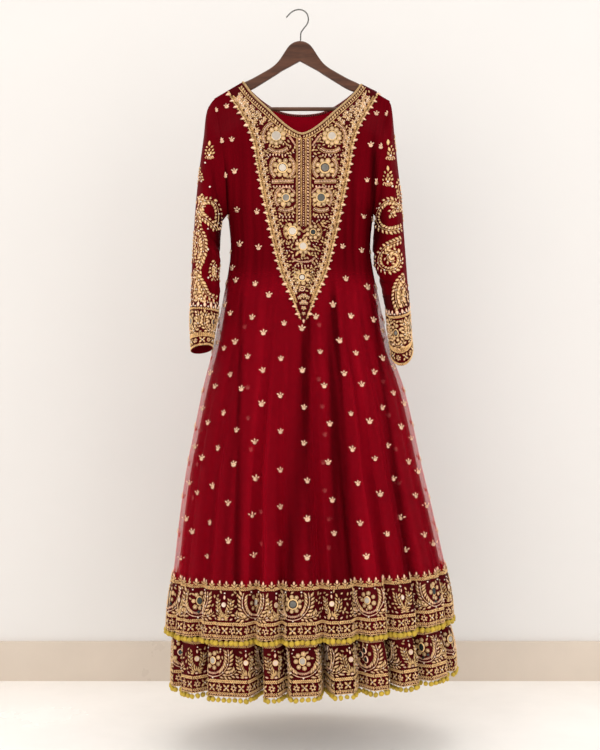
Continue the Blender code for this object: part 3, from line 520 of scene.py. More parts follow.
def add_uv(piece, per_point):
    """A UV map from one pair of numbers for each point."""
    layer = piece.data.uv_layers.new(name="cloth")
    corners = np.empty(len(piece.data.loops), np.int32)
    piece.data.loops.foreach_get("vertex_index", corners)
    layer.data.foreach_set("uv", np.asarray(per_point, np.float32)[corners].ravel())


def cloth_wall(name, grid, thickness, outer_finish, inner_finish, lift=0.0, is_closed=False):
    """A closed thin wall: the grid lifted outwards, and a second face that much further in."""
    rows, count = grid.shape[:2]
    normals = grid_normals(grid, is_closed)
    outside, inside = (grid + normals * far for far in (lift, lift - thickness))
    shift = rows * count
    numbers = np.arange(shift).reshape(rows, count)
    if is_closed:
        numbers = np.hstack([numbers, numbers[:, :1]])
    top = quads(numbers)
    lines = [numbers[0, ::-1], numbers[-1]]
    if not is_closed:
        lines += [numbers[:, 0], numbers[::-1, -1]]
    rim = np.vstack([np.stack([q, p, p + shift, q + shift], axis=1) for p, q in ((l[:-1], l[1:]) for l in lines)])
    faces = np.vstack([top, top[:, ::-1] + shift, rim])
    kinds = np.repeat([0, 1, 0], [len(top), len(top), len(rim)])
    both = np.vstack([outside.reshape(-1, 3), inside.reshape(-1, 3)])
    piece = new_piece(name, both, faces, [outer_finish, inner_finish], kinds)
    travel = grid_travel(grid, 1)
    travel -= travel[:, count // 2][:, None]
    pairs = np.stack([travel, -grid_travel(grid, 0)], axis=-1).reshape(-1, 2)
    add_uv(piece, np.vstack([pairs, pairs]))
    return piece


def swept_tube(name, route, radius, sides, material, is_loop=False):
    """A round cord through a line of points, flat-capped or joined to itself."""
    route = np.asarray(route, float)
    along = unit(np.roll(route, -1, axis=0) - np.roll(route, 1, axis=0) if is_loop else np.gradient(route, axis=0))
    aside = np.cross(along, [0.0, 1.0, 0.0])
    weak = np.linalg.norm(aside, axis=1) < 0.2
    aside[weak] = np.cross(along[weak], [0.0, 0.0, 1.0])
    aside = unit(aside)
    for k in range(1, len(route)):
        aside[k] = unit(aside[k - 1] - along[k] * np.dot(aside[k - 1], along[k]))
    upwards = np.cross(along, aside)
    angles = np.linspace(0, 2 * math.pi, sides, endpoint=False)[None, :, None]
    rings = route[:, None] + radius * (aside[:, None] * np.cos(angles) + upwards[:, None] * np.sin(angles))
    numbers = np.arange(len(route) * sides).reshape(len(route), sides)
    wrapped = closed(numbers) if is_loop else numbers
    faces = quads(np.hstack([wrapped, wrapped[:, :1]]))[:, [0, 3, 2, 1]].tolist()
    if not is_loop:
        faces += [numbers[0, ::-1].tolist(), numbers[-1].tolist()]
    return new_piece(name, rings.reshape(-1, 3), faces, [material])


# ---- materials
class Board:
    """Puts nodes in a tree and joins them."""

    def __init__(self, tree):
        self.tree = tree

    def node(self, kind, inputs=None, **settings):
        node = self.tree.nodes.new(kind)
        for key, value in settings.items():
            setattr(node, key, value)
        for key, value in (inputs or {}).items():
            self.put(node.inputs[key], value)
        return node

    def put(self, socket, value):
        if isinstance(value, bpy.types.NodeSocket):
            self.tree.links.new(value, socket)
        else:
            socket.default_value = value

    def math(self, operation, *values, clamp=False):
        return self.node("ShaderNodeMath", dict(enumerate(values)), operation=operation, use_clamp=clamp).outputs[0]

    def mix(self, factor, first, second, blend="MIX"):
        """A mix of two colours."""
        node = self.node("ShaderNodeMix", data_type="RGBA", blend_type=blend)
        for name, value in (("Factor_Float", factor), ("A_Color", first), ("B_Color", second)):
            self.put(next(s for s in node.inputs if s.identifier == name), value)
        return next(s for s in node.outputs if s.identifier == "Result_Color")

    def ramp(self, factor, low, high, first=0.0, last=1.0):
        """A number carried from the range low..high to first..last, held inside it."""
        inputs = {"Value": factor, "From Min": low, "From Max": high, "To Min": first, "To Max": last}
        return self.node("ShaderNodeMapRange", inputs).outputs[0]

    def noise(self, vector, scale, detail=3.0, roughness=0.5):
        inputs = {"Vector": vector, "Scale": scale, "Detail": detail, "Roughness": roughness}
        return self.node("ShaderNodeTexNoise", inputs).outputs["Fac"]

    def stretched(self, vector, *scale):
        return self.node("ShaderNodeMapping", {"Vector": vector, "Scale": scale}).outputs[0]

    def place(self):
        return self.node("ShaderNodeTexCoord").outputs["Object"]

    def value_of(self, name):
        """A number that the piece's points hold."""
        return self.node("ShaderNodeAttribute", attribute_name=name).outputs["Fac"]

    def use(self, tree, **inputs):
        """A shader node group with its own values."""
        node = self.node("ShaderNodeGroup", node_tree=tree)
        for label, value in inputs.items():
            self.put(node.inputs[label.replace("_", " ")], value)
        return node.outputs


def shader_group(name, inputs, outputs):
    """A new shader node group, its board, its input sockets and its output node."""
    tree = bpy.data.node_groups.new(name, "ShaderNodeTree")
    for label, default in inputs:
        kind = "NodeSocketVector" if default is None else "NodeSocketFloat"
        socket = tree.interface.new_socket(name=label, in_out="INPUT", socket_type=kind)
        if default is not None:
            socket.default_value = default
    for label in outputs:
        tree.interface.new_socket(name=label, in_out="OUTPUT", socket_type="NodeSocketFloat")
    board = Board(tree)
    return tree, board, board.node("NodeGroupInput").outputs, board.node("NodeGroupOutput").inputs


def weave_group():
    """Plain weave from warp and weft threads, on the cloth's own UV map, and the uneven thickness of its yarns."""
    tree, board, given, result = shader_group(
        "Weave", [("Cloth", None), ("Thread", 0.0006), ("Unevenness", 0.3)], ("Height", "Slubs")
    )
    cloth = given["Cloth"]
    parts = board.node("ShaderNodeSeparateXYZ", {"Vector": cloth}).outputs
    turns = board.math("DIVIDE", math.pi, given["Thread"])
    warp, weft = (board.math("SINE", board.math("MULTIPLY", parts[axis], turns)) for axis in "XY")
    yarns = (board.noise(board.stretched(cloth, *scale), 1.0, 2.0) for scale in ((900, 40, 1), (40, 900, 1)))
    slubs = board.math("ADD", *yarns)
    board.put(result["Slubs"], board.math("MULTIPLY", slubs, 0.5))
    lifted = board.math("MULTIPLY_ADD", board.math("MULTIPLY", warp, weft), 0.5, 0.5)
    board.put(result["Height"], board.math("ADD", lifted, board.math("MULTIPLY", slubs, given["Unevenness"])))
    return tree


def mottle_group():
    """Soft patches and fine flecks of colour, from -1 to 1, on the object's own coordinates."""
    tree, board, given, result = shader_group(
        "Mottle", [("Patch Scale", 9.0), ("Fleck Scale", 260.0), ("Fleck Share", 0.4)], ("Value",)
    )
    place = board.place()
    patches = board.noise(place, given["Patch Scale"], 3.0)
    flecks = board.noise(place, given["Fleck Scale"], 2.0)
    both = board.math("MULTIPLY_ADD", board.math("SUBTRACT", flecks, patches), given["Fleck Share"], patches)
    board.put(result["Value"], board.math("MULTIPLY_ADD", both, 2.0, -1.0))
    return tree


def new_finish(name, **constants):
    """A material with a Principled shader: its board and its shader."""
    material = bpy.data.materials.new(name)
    material.use_nodes = True
    shader = material.node_tree.nodes["Principled BSDF"]
    for label, value in constants.items():
        shader.inputs[label.replace("_", " ")].default_value = value
    return material, Board(material.node_tree), shader


def shade(colour, amount):
    """A colour made lighter or darker."""
    return (*(min(1.0, part * amount) for part in colour[:3]), 1.0)


def raise_up(board, shader, height, strength, distance):
    node = board.node("ShaderNodeBump", {"Height": height, "Strength": strength, "Distance": distance})
    board.put(shader.inputs["Normal"], node.outputs[0])


def paint(board, shader, colour, rough_by, roughness, spread, span=(0.3, 0.7)):
    """Gives a shader its colour, and a roughness that rises with a value by that much on both sides."""
    board.put(shader.inputs["Base Color"], colour)
    board.put(shader.inputs["Roughness"], board.ramp(rough_by, *span, roughness - spread, roughness + spread))


def cloth_finish(name, groups, colour, thread, depth, roughness, gloss, net_cover=None, backed=None):
    """Woven or net cloth: darker where its points' bunch value is high (net doubled in folds, and painted shade),
    lighter where it is below zero (painted highlight), and brighter still with painted light below -1.

    Where net_cover is given, each face hides that share of what is behind it, as far as the points' sheer says,
    and where sheer is nothing the net lies on its lining and has the colour of both.
    """
    material, board, shader = new_finish(
        name, Sheen_Weight=0.015, Sheen_Roughness=0.4, Sheen_Tint=shade(colour, 4.0), Specular_IOR_Level=gloss,
        Specular_Tint=(1.0, 0.22, 0.2, 1.0),
    )
    uv = board.node("ShaderNodeUVMap", uv_map="cloth").outputs[0]
    weave = board.use(groups["weave"], Cloth=uv, Thread=thread, Unevenness=0.5)
    mottle = board.use(groups["mottle"], Patch_Scale=7.0, Fleck_Scale=420.0, Fleck_Share=0.25)[0]
    tone = board.math("MULTIPLY_ADD", mottle, 0.3, weave["Slubs"])
    sheer, bunch = board.value_of("sheer"), board.value_of("bunch")
    dyed = board.mix(sheer, shade(backed, 1.0), shade(colour, 1.0)) if backed else shade(colour, 1.0)
    base = board.mix(1.0, dyed, board.ramp(tone, 0.2, 0.8, 0.78, 1.22), "MULTIPLY")
    # Painted light where bunch is below -1; painted shade where it is high and painted highlight where it is low, as a
    # multiplier on the colour.
    lit = board.ramp(bunch, -1.0, -3.0)
    fold_shade_and_light = board.math("MULTIPLY_ADD", lit, 1.15, board.ramp(bunch, -1.0, 1.0, 1.3, 0.2))
    paint(board, shader, board.mix(1.0, base, fold_shade_and_light, "MULTIPLY"), weave["Slubs"], roughness, 0.08)
    raise_up(board, shader, weave["Height"], 0.35, depth)
    if net_cover is not None:
        threads = board.ramp(weave["Slubs"], 0.35, 0.65, -0.05, 0.05)
        doubled = board.ramp(bunch, 0.0, 1.0, 0.0, 0.2)
        thin = board.math("MULTIPLY_ADD", lit, -0.03, net_cover)
        cover = board.math("ADD", board.math("ADD", threads, doubled), thin)
        open_share = board.math("MULTIPLY", sheer, board.math("SUBTRACT", 1.0, cover))
        board.put(shader.inputs["Alpha"], board.math("SUBTRACT", 1.0, open_share, clamp=True))
    return material


def thread_finish(name, groups, colour, roughness, metallic, spread):
    """Metal thread: fine twist across each stitch, and every stitch a little lighter or darker."""
    material, board, shader = new_finish(name, Metallic=metallic, Specular_IOR_Level=0.5)
    mottle = board.use(groups["mottle"], Patch_Scale=160.0, Fleck_Scale=1400.0, Fleck_Share=0.6)[0]
    level = board.math("MULTIPLY_ADD", mottle, 0.35, board.value_of("tone"))
    base = board.mix(board.ramp(level, 0.0, 1.0), shade(colour, 1 - spread), shade(colour, 1 + spread))
    twist = board.noise(board.place(), 2600.0, 1.0)
    paint(board, shader, base, twist, roughness, 0.1)
    raise_up(board, shader, twist, 0.5, 0.0004)
    return material


def bead_finish(name, groups, patch_scale, cloudiness, span, dark, light, roughness, **constants):
    """Small cut mirrors or pearls: some light, some dark, with a faint cloudiness."""
    material, board, shader = new_finish(name, **constants)
    mottle = board.use(groups["mottle"], Patch_Scale=patch_scale, Fleck_Scale=900.0, Fleck_Share=0.3)[0]
    level = board.math("MULTIPLY_ADD", mottle, cloudiness, board.value_of("tone"))
    base = board.mix(board.ramp(level, *span), (*dark, 1), (*light, 1))
    paint(board, shader, base, mottle, roughness, 0.07, (-0.5, 0.5))
    return material


def pompom_finish(colour):
    material, board, shader = new_finish("pompom yarn", Sheen_Weight=0.35, Sheen_Tint=shade(colour, 1.6))
    strands = board.noise(board.place(), 1500.0, 3.0, 0.7)
    level = board.math("MULTIPLY_ADD", strands, 0.7, board.math("MULTIPLY", board.value_of("tone"), 0.4))
    base = board.mix(board.ramp(level, 0.25, 0.75), shade(colour, 0.45), shade(colour, 1.35))
    paint(board, shader, base, strands, 0.735, 0.115)
    raise_up(board, shader, strands, 0.9, 0.0012)
    return material


def wood_finish(colour):
    """Dark polished wood, its grain along the hanger's arms."""
    material, board, shader = new_finish("walnut", Coat_Weight=0.06, Coat_Roughness=0.25, Specular_IOR_Level=0.25)
    place = board.place()
    broad = board.noise(board.stretched(place, 6, 70, 70), 1.6, 4.0, 0.55)
    fine = board.noise(board.stretched(place, 60, 900, 900), 1.0, 2.0, 0.5)
    level = board.math("MULTIPLY_ADD", fine, 0.35, board.math("MULTIPLY", broad, 0.75))
    base = board.mix(board.ramp(level, 0.35, 0.75), shade(colour, 0.55), shade(colour, 1.55))
    paint(board, shader, base, fine, 0.375, 0.075)
    raise_up(board, shader, fine, 0.25, 0.0004)
    return material


def steel_finish():
    material, board, shader = new_finish("polished steel", Metallic=1.0)
    brushed = board.noise(board.place(), 700.0, 2.0)
    base = board.mix(brushed, (0.1, 0.097, 0.092, 1), (0.2, 0.195, 0.185, 1))
    paint(board, shader, base, brushed, 0.2, 0.06)
    return material


# ---- sewn shapes
LEAF, KNOT, LINK, SEQUIN, DISC, RING, POMPOM = range(7)
SHAPE_NAMES = ("Leaf", "Knot", "Link", "Sequin", "Disc", "Ring", "Pompom")
GOLD, ROSE, PEARL, MIRROR, YARN, SHADED_ROSE = range(6)
FINISH_NAMES = ("gold thread", "rose gold thread", "pearl", "mirror", "yarn", "dimmed thread")
X, Y, TURN, LENGTH, WIDTH, HEIGHT, RISE, SHAPE, FINISH, TONE = range(10)


def round_points(sides, radius, height, shift=0.0):
    """Points round Z."""
    angles = [2 * math.pi * (k + shift) / sides for k in range(sides)]
    return [(radius * math.cos(angle), radius * math.sin(angle), height) for angle in angles]


def leaf_shape():
    points = [(-0.5, 0, 0), (-0.28, -0.36, 0.15), (0.02, -0.5, 0.25), (0.3, -0.3, 0.15), (0.5, 0, 0.1)]
    points += [(0.3, 0.3, 0.15), (0.02, 0.5, 0.25), (-0.28, 0.36, 0.15)]
    points += [(-0.2, 0, 0.75), (0.1, 0, 1.0), (0.34, 0, 0.55)]
    faces = [(0, 1, 8), (1, 2, 9, 8), (2, 3, 10, 9), (3, 4, 10), (4, 5, 10), (5, 6, 9, 10), (6, 7, 8, 9), (7, 0, 8)]
    return points, [*faces, (7, 6, 5, 4, 3, 2, 1, 0)]


def link_shape():
    points = [(-0.5, 0, 0.2), (-0.36, -0.5, 0.1), (0.36, -0.5, 0.1), (0.5, 0, 0.2), (0.36, 0.5, 0.1), (-0.36, 0.5, 0.1)]
    points += [(-0.3, 0, 1.0), (0.3, 0, 1.0)]
    faces = [(0, 1, 6), (1, 2, 7, 6), (2, 3, 7), (3, 4, 7), (4, 5, 6, 7), (5, 0, 6)]
    return points, [*faces, (5, 4, 3, 2, 1, 0)]


def turned_shape(profile, sides):
    """A closed shape turned about Z, from radii and heights that start at the bottom's rim."""
    points, faces = [], []
    for level, (radius, height) in enumerate(profile):
        points += round_points(sides, radius, height)
        for k in range(sides if level else 0):
            a, b = (level - 1) * sides + k, (level - 1) * sides + (k + 1) % sides
            faces.append((a, b, b + sides, a + sides))
    count = len(points)
    return points, [*faces, tuple(range(sides))[::-1], tuple(range(count - sides, count))]


def ring_shape(sides=10, section=3):
    numbers = np.arange(sides * section).reshape(sides, section)
    turns = [2 * math.pi * j / section for j in range(section)]
    rounds = [round_points(sides, 0.42 + 0.08 * math.cos(turn), 0.5 + 0.5 * math.sin(turn)) for turn in turns]
    wide = np.hstack([closed(numbers), closed(numbers)[:, :1]])
    return [point for spoke in zip(*rounds) for point in spoke], quads(wide).tolist()


def pompom_shape(sides=9, levels=7):
    """A round tuft with uneven yarn ends, hanging below its own middle."""
    points, faces = [(0, 0, 0.5)], []
    for level in range(1, levels):
        polar = math.pi * level / levels
        for k in range(sides):
            angle = 2 * math.pi * (k + 0.5 * (level % 2)) / sides
            radius = 0.5 * (1.0 + 0.12 * math.sin(5 * k + 3 * level) + 0.06 * math.cos(11 * k + level))
            across = radius * math.sin(polar)
            points.append((across * math.cos(angle), across * math.sin(angle), radius * math.cos(polar)))
    points.append((0, 0, -0.5))
    last = len(points) - 1
    for level in range(-1, levels - 1):
        for k in range(sides):
            a, b = 1 + level * sides + k, 1 + level * sides + (k + 1) % sides
            if level < 0:
                faces.append((0, a + sides, b + sides))
            elif level < levels - 2:
                faces.append((a, a + sides, b + sides, b))
            else:
                faces.append((a, last, b))
    return points, faces


def shape_objects():
    """One small closed mesh for each sewn shape, unit sized, used only while pieces are made."""
    dome = turned_shape(((0.5, 0.0), (0.38, 0.9)), 6)
    sequin = turned_shape(((0.5, 0.0), (0.46, 0.8), (0.2, 0.55)), 9)
    disc = turned_shape(((0.5, 0.0), (0.5, 0.6), (0.44, 1.0)), 16)
    shapes = (leaf_shape(), dome, link_shape(), sequin, disc, ring_shape(), pompom_shape())
    made = []
    for name, (points, faces) in zip(SHAPE_NAMES, shapes):
        mesh = bpy.data.meshes.new(name)
        mesh.from_pydata(points, [], faces)
        if name in ("Leaf", "Knot", "Pompom"):
            mesh.shade_smooth()
        made.append(bpy.data.objects.new(name, mesh))
    return made


def sewing_tree():
    """Puts a shape on each point, turned and sized as the point's values say, and gives each its finish."""
    tree = bpy.data.node_groups.new("Sewing", "GeometryNodeTree")
    given_kinds = {"Places": "Geometry", "Size": "Float", "Thickness": "Float"}
    given_kinds |= dict.fromkeys(SHAPE_NAMES, "Object") | dict.fromkeys(FINISH_NAMES, "Material")
    for name, kind in given_kinds.items():
        tree.interface.new_socket(name=name, in_out="INPUT", socket_type=f"NodeSocket{kind}")
    tree.interface.new_socket(name="Sewn", in_out="OUTPUT", socket_type="NodeSocketGeometry")
    board = Board(tree)
    given = board.node("NodeGroupInput").outputs

    def value(name, kind="FLOAT_VECTOR"):
        return board.node("GeometryNodeInputNamedAttribute", {"Name": name}, data_type=kind).outputs["Attribute"]

    def is_number(name, number):
        node = board.node("FunctionNodeCompare", data_type="INT", operation="EQUAL")
        for socket, given_value in zip((s for s in node.inputs if s.enabled), (value(name, "INT"), number)):
            board.put(socket, given_value)
        return node.outputs[0]

    ways = {0: value("out"), 1: value("along")}
    turn = board.node("FunctionNodeAxesToRotation", ways, primary_axis="Z", secondary_axis="X").outputs[0]
    size = board.node("ShaderNodeVectorMath", {0: value("size"), "Scale": given["Size"]}, operation="SCALE").outputs[0]
    thick = board.node("ShaderNodeCombineXYZ", {"X": 1.0, "Y": 1.0, "Z": given["Thickness"]}).outputs[0]
    scaled = board.node("ShaderNodeVectorMath", {0: size, 1: thick}, operation="MULTIPLY").outputs[0]
    joined = board.node("GeometryNodeJoinGeometry")
    for number, name in enumerate(SHAPE_NAMES):
        shape = board.node("GeometryNodeObjectInfo", {"Object": given[name]}).outputs["Geometry"]
        inputs = {
            "Points": given["Places"], "Selection": is_number("shape", number), "Instance": shape,
            "Rotation": turn, "Scale": scaled,
        }
        board.put(joined.inputs[0], board.node("GeometryNodeInstanceOnPoints", inputs).outputs[0])
    last = board.node("GeometryNodeRealizeInstances", {"Geometry": joined.outputs[0]}).outputs[0]
    for number, name in enumerate(FINISH_NAMES):
        inputs = {"Geometry": last, "Selection": is_number("finish", number), "Material": given[name]}
        last = board.node("GeometryNodeSetMaterial", inputs).outputs[0]
    board.put(board.node("NodeGroupOutput").inputs[0], last)
    return tree


def sewn_piece(name, frames, work, shop, lift):
    """A piece with one shape for each row of work, standing on the given frames of a surface."""
    points, along, upwards, out = frames
    places = points + out * (lift + work[:, RISE])[:, None]
    turn = work[:, TURN][:, None]
    ways = along * np.cos(turn) + upwards * np.sin(turn)
    mesh = bpy.data.meshes.new(f"{name}_places")
    mesh.from_pydata(places.tolist(), [], [])
    for label, values in (("out", out), ("along", ways), ("size", work[:, [LENGTH, WIDTH, HEIGHT]])):
        point_values(mesh, label, values, "FLOAT_VECTOR")
    for label, column in (("shape", SHAPE), ("finish", FINISH)):
        point_values(mesh, label, work[:, column], "INT")
    point_values(mesh, "tone", work[:, TONE])
    holder = link_up(f"{name}_places", mesh)
    modifier = holder.modifiers.new("Sewing", "NODES")
    modifier.node_group = shop["tree"]
    settings = bpy.context.scene.gown_stitching
    given = {"Size": settings.size, "Thickness": settings.thickness}
    given.update(zip(SHAPE_NAMES, shop["shapes"]))
    given.update(zip(FINISH_NAMES, shop["finishes"]))
    for item in shop["tree"].interface.items_tree:
        if item.item_type == "SOCKET" and item.name in given:
            modifier[item.identifier] = given[item.name]
    bpy.context.view_layer.update()
    depsgraph = bpy.context.evaluated_depsgraph_get()
    sewn = bpy.data.meshes.new_from_object(holder.evaluated_get(depsgraph), depsgraph=depsgraph)
    bpy.data.objects.remove(holder)
    bpy.data.meshes.remove(mesh)
    sewn.name = name
    for label in ("out", "along", "size", "shape", "finish"):
        if label in sewn.attributes:
            sewn.attributes.remove(sewn.attributes[label])
    return link_up(name, sewn)


# ---- drawing with stitches
def gathered(maker):
    """Puts the stitches that a function yields bit by bit in one table."""
    return lambda *given, **more: np.vstack(list(maker(*given, **more)))


def stitches(shape, x, y, turn=0.0, length=0.003, width=0.0025, height=0.0012, rise=0.0, finish=GOLD, tone=0.5):
    columns = np.broadcast_arrays(x, y, turn, length, width, height, rise, shape, finish, tone)
    return np.column_stack([np.atleast_1d(np.asarray(column, float)).ravel() for column in columns])


def leaf(x, y, turn, *size, **more):
    return stitches(LEAF, x, y, turn, *size, **more)


def bead(shape, x, y, across, height, *more, turn=0, **named):
    """A round shape of an even width."""
    return stitches(shape, x, y, turn, across, across, height, *more, **named)


def beside(x, y, turn, off):
    """Places that far to the left of a line's own."""
    return x - np.sin(turn) * off, y + np.cos(turn) * off


def petals(angles, reach, *size, **more):
    """Leaves round a middle, each pointing away from it."""
    return leaf(reach * np.cos(angles), reach * np.sin(angles), angles, *size, **more)


def put(work, x=0.0, y=0.0, turn=0.0, size=1.0):
    """The same stitches moved, turned and sized."""
    made = np.array(work, float)
    made[:, [X, Y, LENGTH, WIDTH]] *= size
    px, py = made[:, X].copy(), made[:, Y].copy()
    along, across = math.cos(turn), math.sin(turn)
    made[:, X], made[:, Y] = x + px * along - py * across, y + px * across + py * along
    made[:, TURN] += turn
    return made


def varied(work, seed, spread=0.25, wobble=0.06, growth=0.06):
    """Hand-work: each stitch's tone, turn and size differ a little."""
    chance = np.random.default_rng(seed)
    made = np.array(work, float)
    count = len(made)
    made[:, TONE] += np.where(made[:, FINISH] == MIRROR, 0.0, chance.uniform(-spread, spread, count))
    made[:, TURN] += chance.normal(0, wobble, count)
    made[:, [LENGTH, WIDTH]] *= 1 + chance.normal(0, growth, (count, 1))
    return made


def walk(line, pitch, offset=0.0):
    """Points at even distances along a line of points, and the way it runs there."""
    line = np.asarray(line, float)
    travel = travel_of(line)
    count = max(1, round(travel[-1] / pitch))
    wanted = np.clip((np.arange(count) + 0.5 + offset) * travel[-1] / count, 0, travel[-1])
    way = np.arctan2(np.diff(line[:, 1]), np.diff(line[:, 0]))
    turn = way[np.clip(np.searchsorted(travel, wanted, side="right") - 1, 0, len(way) - 1)]
    return *read_line(line, travel, wanted).T, turn


def row_along(shape, line, pitch, *size, off=0.0, lean=0.0, offset=0.0, **more):
    """A row of stitches along a line or beside it, each turned from its way by a lean."""
    x, y, turn = walk(line, pitch, offset)
    return stitches(shape, *beside(x, y, turn, off), turn + lean, *size, **more)


def chain(line, pitch, length, width, **more):
    """A line of couched cord."""
    return row_along(LINK, line, pitch, length, width, **more)


def beads(line, pitch, size, **more):
    return row_along(KNOT, line, pitch, size, size, **more)


def arc(radius, start, end, x=0.0, y=0.0, squash=1.0, steps=24):
    angles = np.radians(np.linspace(start, end, steps))
    return np.stack([x + radius * np.cos(angles), y + radius * squash * np.sin(angles)], axis=1)


def curve(*corners, steps=20):
    """A smooth line (Bezier) by its corners."""
    t = np.linspace(0, 1, steps)[:, None]
    points = [np.asarray(corner, float)[None] * np.ones_like(t) for corner in corners]
    while len(points) > 1:
        points = [a * (1 - t) + b * t for a, b in zip(points, points[1:])]
    return points[0]


def buti():
    """The small scattered sprig: three pointed petals that rise from a round bud."""
    lengths, reach = np.array([0.0078, 0.0074, 0.0074]), np.array([0.0052, 0.0054, 0.0054])
    crown = petals(np.radians([90, 34, 146]), reach, lengths, 0.004, 0.002, finish=ROSE, tone=0.6)
    core = stitches(KNOT, 0, -0.0022, 0, 0.0112, 0.0092, 0.0018, finish=ROSE, tone=0.45)
    return np.vstack([put(crown, 0, -0.001), core, bead(KNOT, 0, -0.0012, 0.0028, 0.003, tone=0.3)])


# ---- what the pieces share
WORKSHOP = {}


def workshop():
    """Finishes, shapes and the sewing tree, made on first use."""
    if WORKSHOP:
        return WORKSHOP
    scene = bpy.context.scene
    cloth, stitching, hanger = scene.gown_cloth, scene.gown_stitching, scene.gown_hanger
    groups = {"weave": weave_group(), "mottle": mottle_group()}
    for name, pitch, depth, roughness, gloss in (
        ("net", 1.6, 0.0004, 0.55, 0.02),
        ("satin", 1.0, 0.0002, 0.45, 0.05),
        ("lining", 1.0, 0.0002, 0.5, 0.04),
        ("ground", 1.3, 0.0004, 0.65, 0.06),
    ):
        shown = getattr(cloth, f"{name}_colour")
        sheer = (cloth.net_cover, cloth.lining_colour) if name == "net" else ()
        WORKSHOP[name] = cloth_finish(
            f"crimson {name}", groups, shown, cloth.thread * pitch, depth, roughness, gloss, *sheer
        )
    for name, kind, look in (
        # its roughness, how metallic it is, how much its stitches differ
        ("gold", "gold thread", (0.42, 0.35, 0.42)),
        ("rose", "rose gold thread", (0.46, 0.28, 0.38)),
        # rose thread darkened with painted shade, for the sprigs in the folds behind the net and the back of the neck
        ("dimmed", "dimmed rose thread", (0.6, 0.0, 0.3)),
    ):
        WORKSHOP[name] = thread_finish(kind, groups, getattr(stitching, f"{name}_colour"), *look)
    WORKSHOP["pearl"] = bead_finish(
        "pearl bead", groups, 300.0, 0.2, (0.0, 1.0), (0.55, 0.36, 0.26), (0.9, 0.76, 0.62), 0.25,
        Specular_IOR_Level=0.7, Coat_Weight=0.4,
    )
    WORKSHOP["mirror"] = bead_finish(
        "mirror glass", groups, 120.0, 0.12, (0.1, 0.9), (0.03, 0.036, 0.034), (0.66, 0.57, 0.47), 0.17, Metallic=0.55
    )
    WORKSHOP.update(
        yarn=pompom_finish(scene.gown_trims.pompom_colour),
        wood=wood_finish(hanger.wood_colour),
        bar=wood_finish(hanger.bar_colour),
        steel=steel_finish(),
        shapes=shape_objects(),
        tree=sewing_tree(),
    )
    WORKSHOP["finishes"] = [WORKSHOP[name] for name in ("gold", "rose", "pearl", "mirror", "yarn", "dimmed")]
    return WORKSHOP


def hand_over(piece, slot, *nodes):
    """Fixes a finished piece to the gown, in place of the nodes it stands for."""
    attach(piece, "root")
    if nodes:
        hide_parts(*nodes)
    return piece


def sew(name, frames, work, slot, nodes=(), lift=0.0):
    return hand_over(sewn_piece(name, frames, work, workshop(), lift), slot, *nodes)


def place_of(x, z):
    """The place across the front of a point of the front view."""
    share = np.clip((x - smooth_read(SECTIONS, z, 4)) / smooth_read(SECTIONS, z, 1), -1, 1)
    return np.arccos(-share) / math.pi


GROUND_LIFT = 0.0016  # from a panel's outside to the outside of the ground that lies on it
GROUND_WALL = 0.0012
CLOTH_SKIN = 0.0002  # from the solid's outside to the cloth's

# ---- cloth
PANEL_COLUMNS = 180
PANEL_TOP_SHARES = (0.0, 0.0008, 0.002, 0.004, 0.007, 0.011, 0.016)
PANEL_ROWS = 88
UNDER_COLUMNS = 170
UNDER_ROW_COUNT = 60
SHEER_FROM_Z = -0.59
SHEER_TO_Z = -0.68
NECK_FACING_Z = -0.36
SIDE_LIGHT = 3.0  # how strong the painted light on the net beside the side seams is, standing for light through the net there
SIDE_SHARE = 0.13  # how far from a seam that painted light reaches, as a share of a panel
FACING_LIGHT = 3.2  # how much painted light brightens the facing inside the back neck


def panel_places(start, count=PANEL_COLUMNS):
    """Even places across a half of the gown, with one exactly at each neck point."""
    found = np.linspace(start, start + 1, count)
    neck = math.acos(NECK_SHARE) / math.pi
    for exact in (start + neck, start + 1 - neck):
        found[np.argmin(np.abs(found - exact))] = exact
    return found


def painted_streaks(place, z):
    """Painted shade and painted highlight of fine soft creases between the folds of the skirt."""
    wave = np.sin(2 * math.pi * 34 * place + 1.6 * np.sin(4 * z)) * np.sin(2 * math.pi * 9.3 * place + 3 * z)
    wave += 0.6 * np.sin(2 * math.pi * 23 * place + 2 * z)
    return 0.22 * wave * (0.45 + 0.55 * eased((SHEER_FROM_Z - z) / 0.2))


def spread_over(found, z, surface, start):
    """A grid of points over a half of the gown, a hair further out than the surface itself."""
    grid = surface(found[None, :], z)
    grid[..., 1] += CLOTH_SKIN if start else -CLOTH_SKIN
    return grid


def outer_panel(name, start):
    shop, cloth = workshop(), bpy.context.scene.gown_cloth
    found = panel_places(start)
    top = top_z(found, start == 0)
    shares = np.concatenate([PANEL_TOP_SHARES, np.linspace(0.022, 1, PANEL_ROWS)])
    z = top[None, :] + (HEM_Z - top)[None, :] * shares[:, None]
    grid = spread_over(half_of(found, start), z, outer_point, start)
    piece = cloth_wall(f"{name}_net", grid, cloth.wall, shop["net"], shop["net"])
    add_values(piece, "sheer", eased((SHEER_FROM_Z - z) / (SHEER_FROM_Z - SHEER_TO_Z)))
    # Painted shade and highlight of the folds and streaks; painted light beside the side seams on the outside, and on
    # the inside of the back neck's facing.
    folds = bunched_and_shaded(grid, found + 0 * z, z) + painted_streaks(found + 0 * z, z)
    to_side = np.minimum(found - start, start + 1 - found) + 0 * z
    lit = SIDE_LIGHT * eased((SIDE_SHARE - to_side) / 0.1) * eased((SHEER_FROM_Z - z) / 0.15)
    facing = start * FACING_LIGHT * eased((z - NECK_FACING_Z) / 0.05)
    add_values(piece, "bunch", [folds * (1 - lit / SIDE_LIGHT) - lit, folds - facing])
    return hand_over(piece, "net", name)


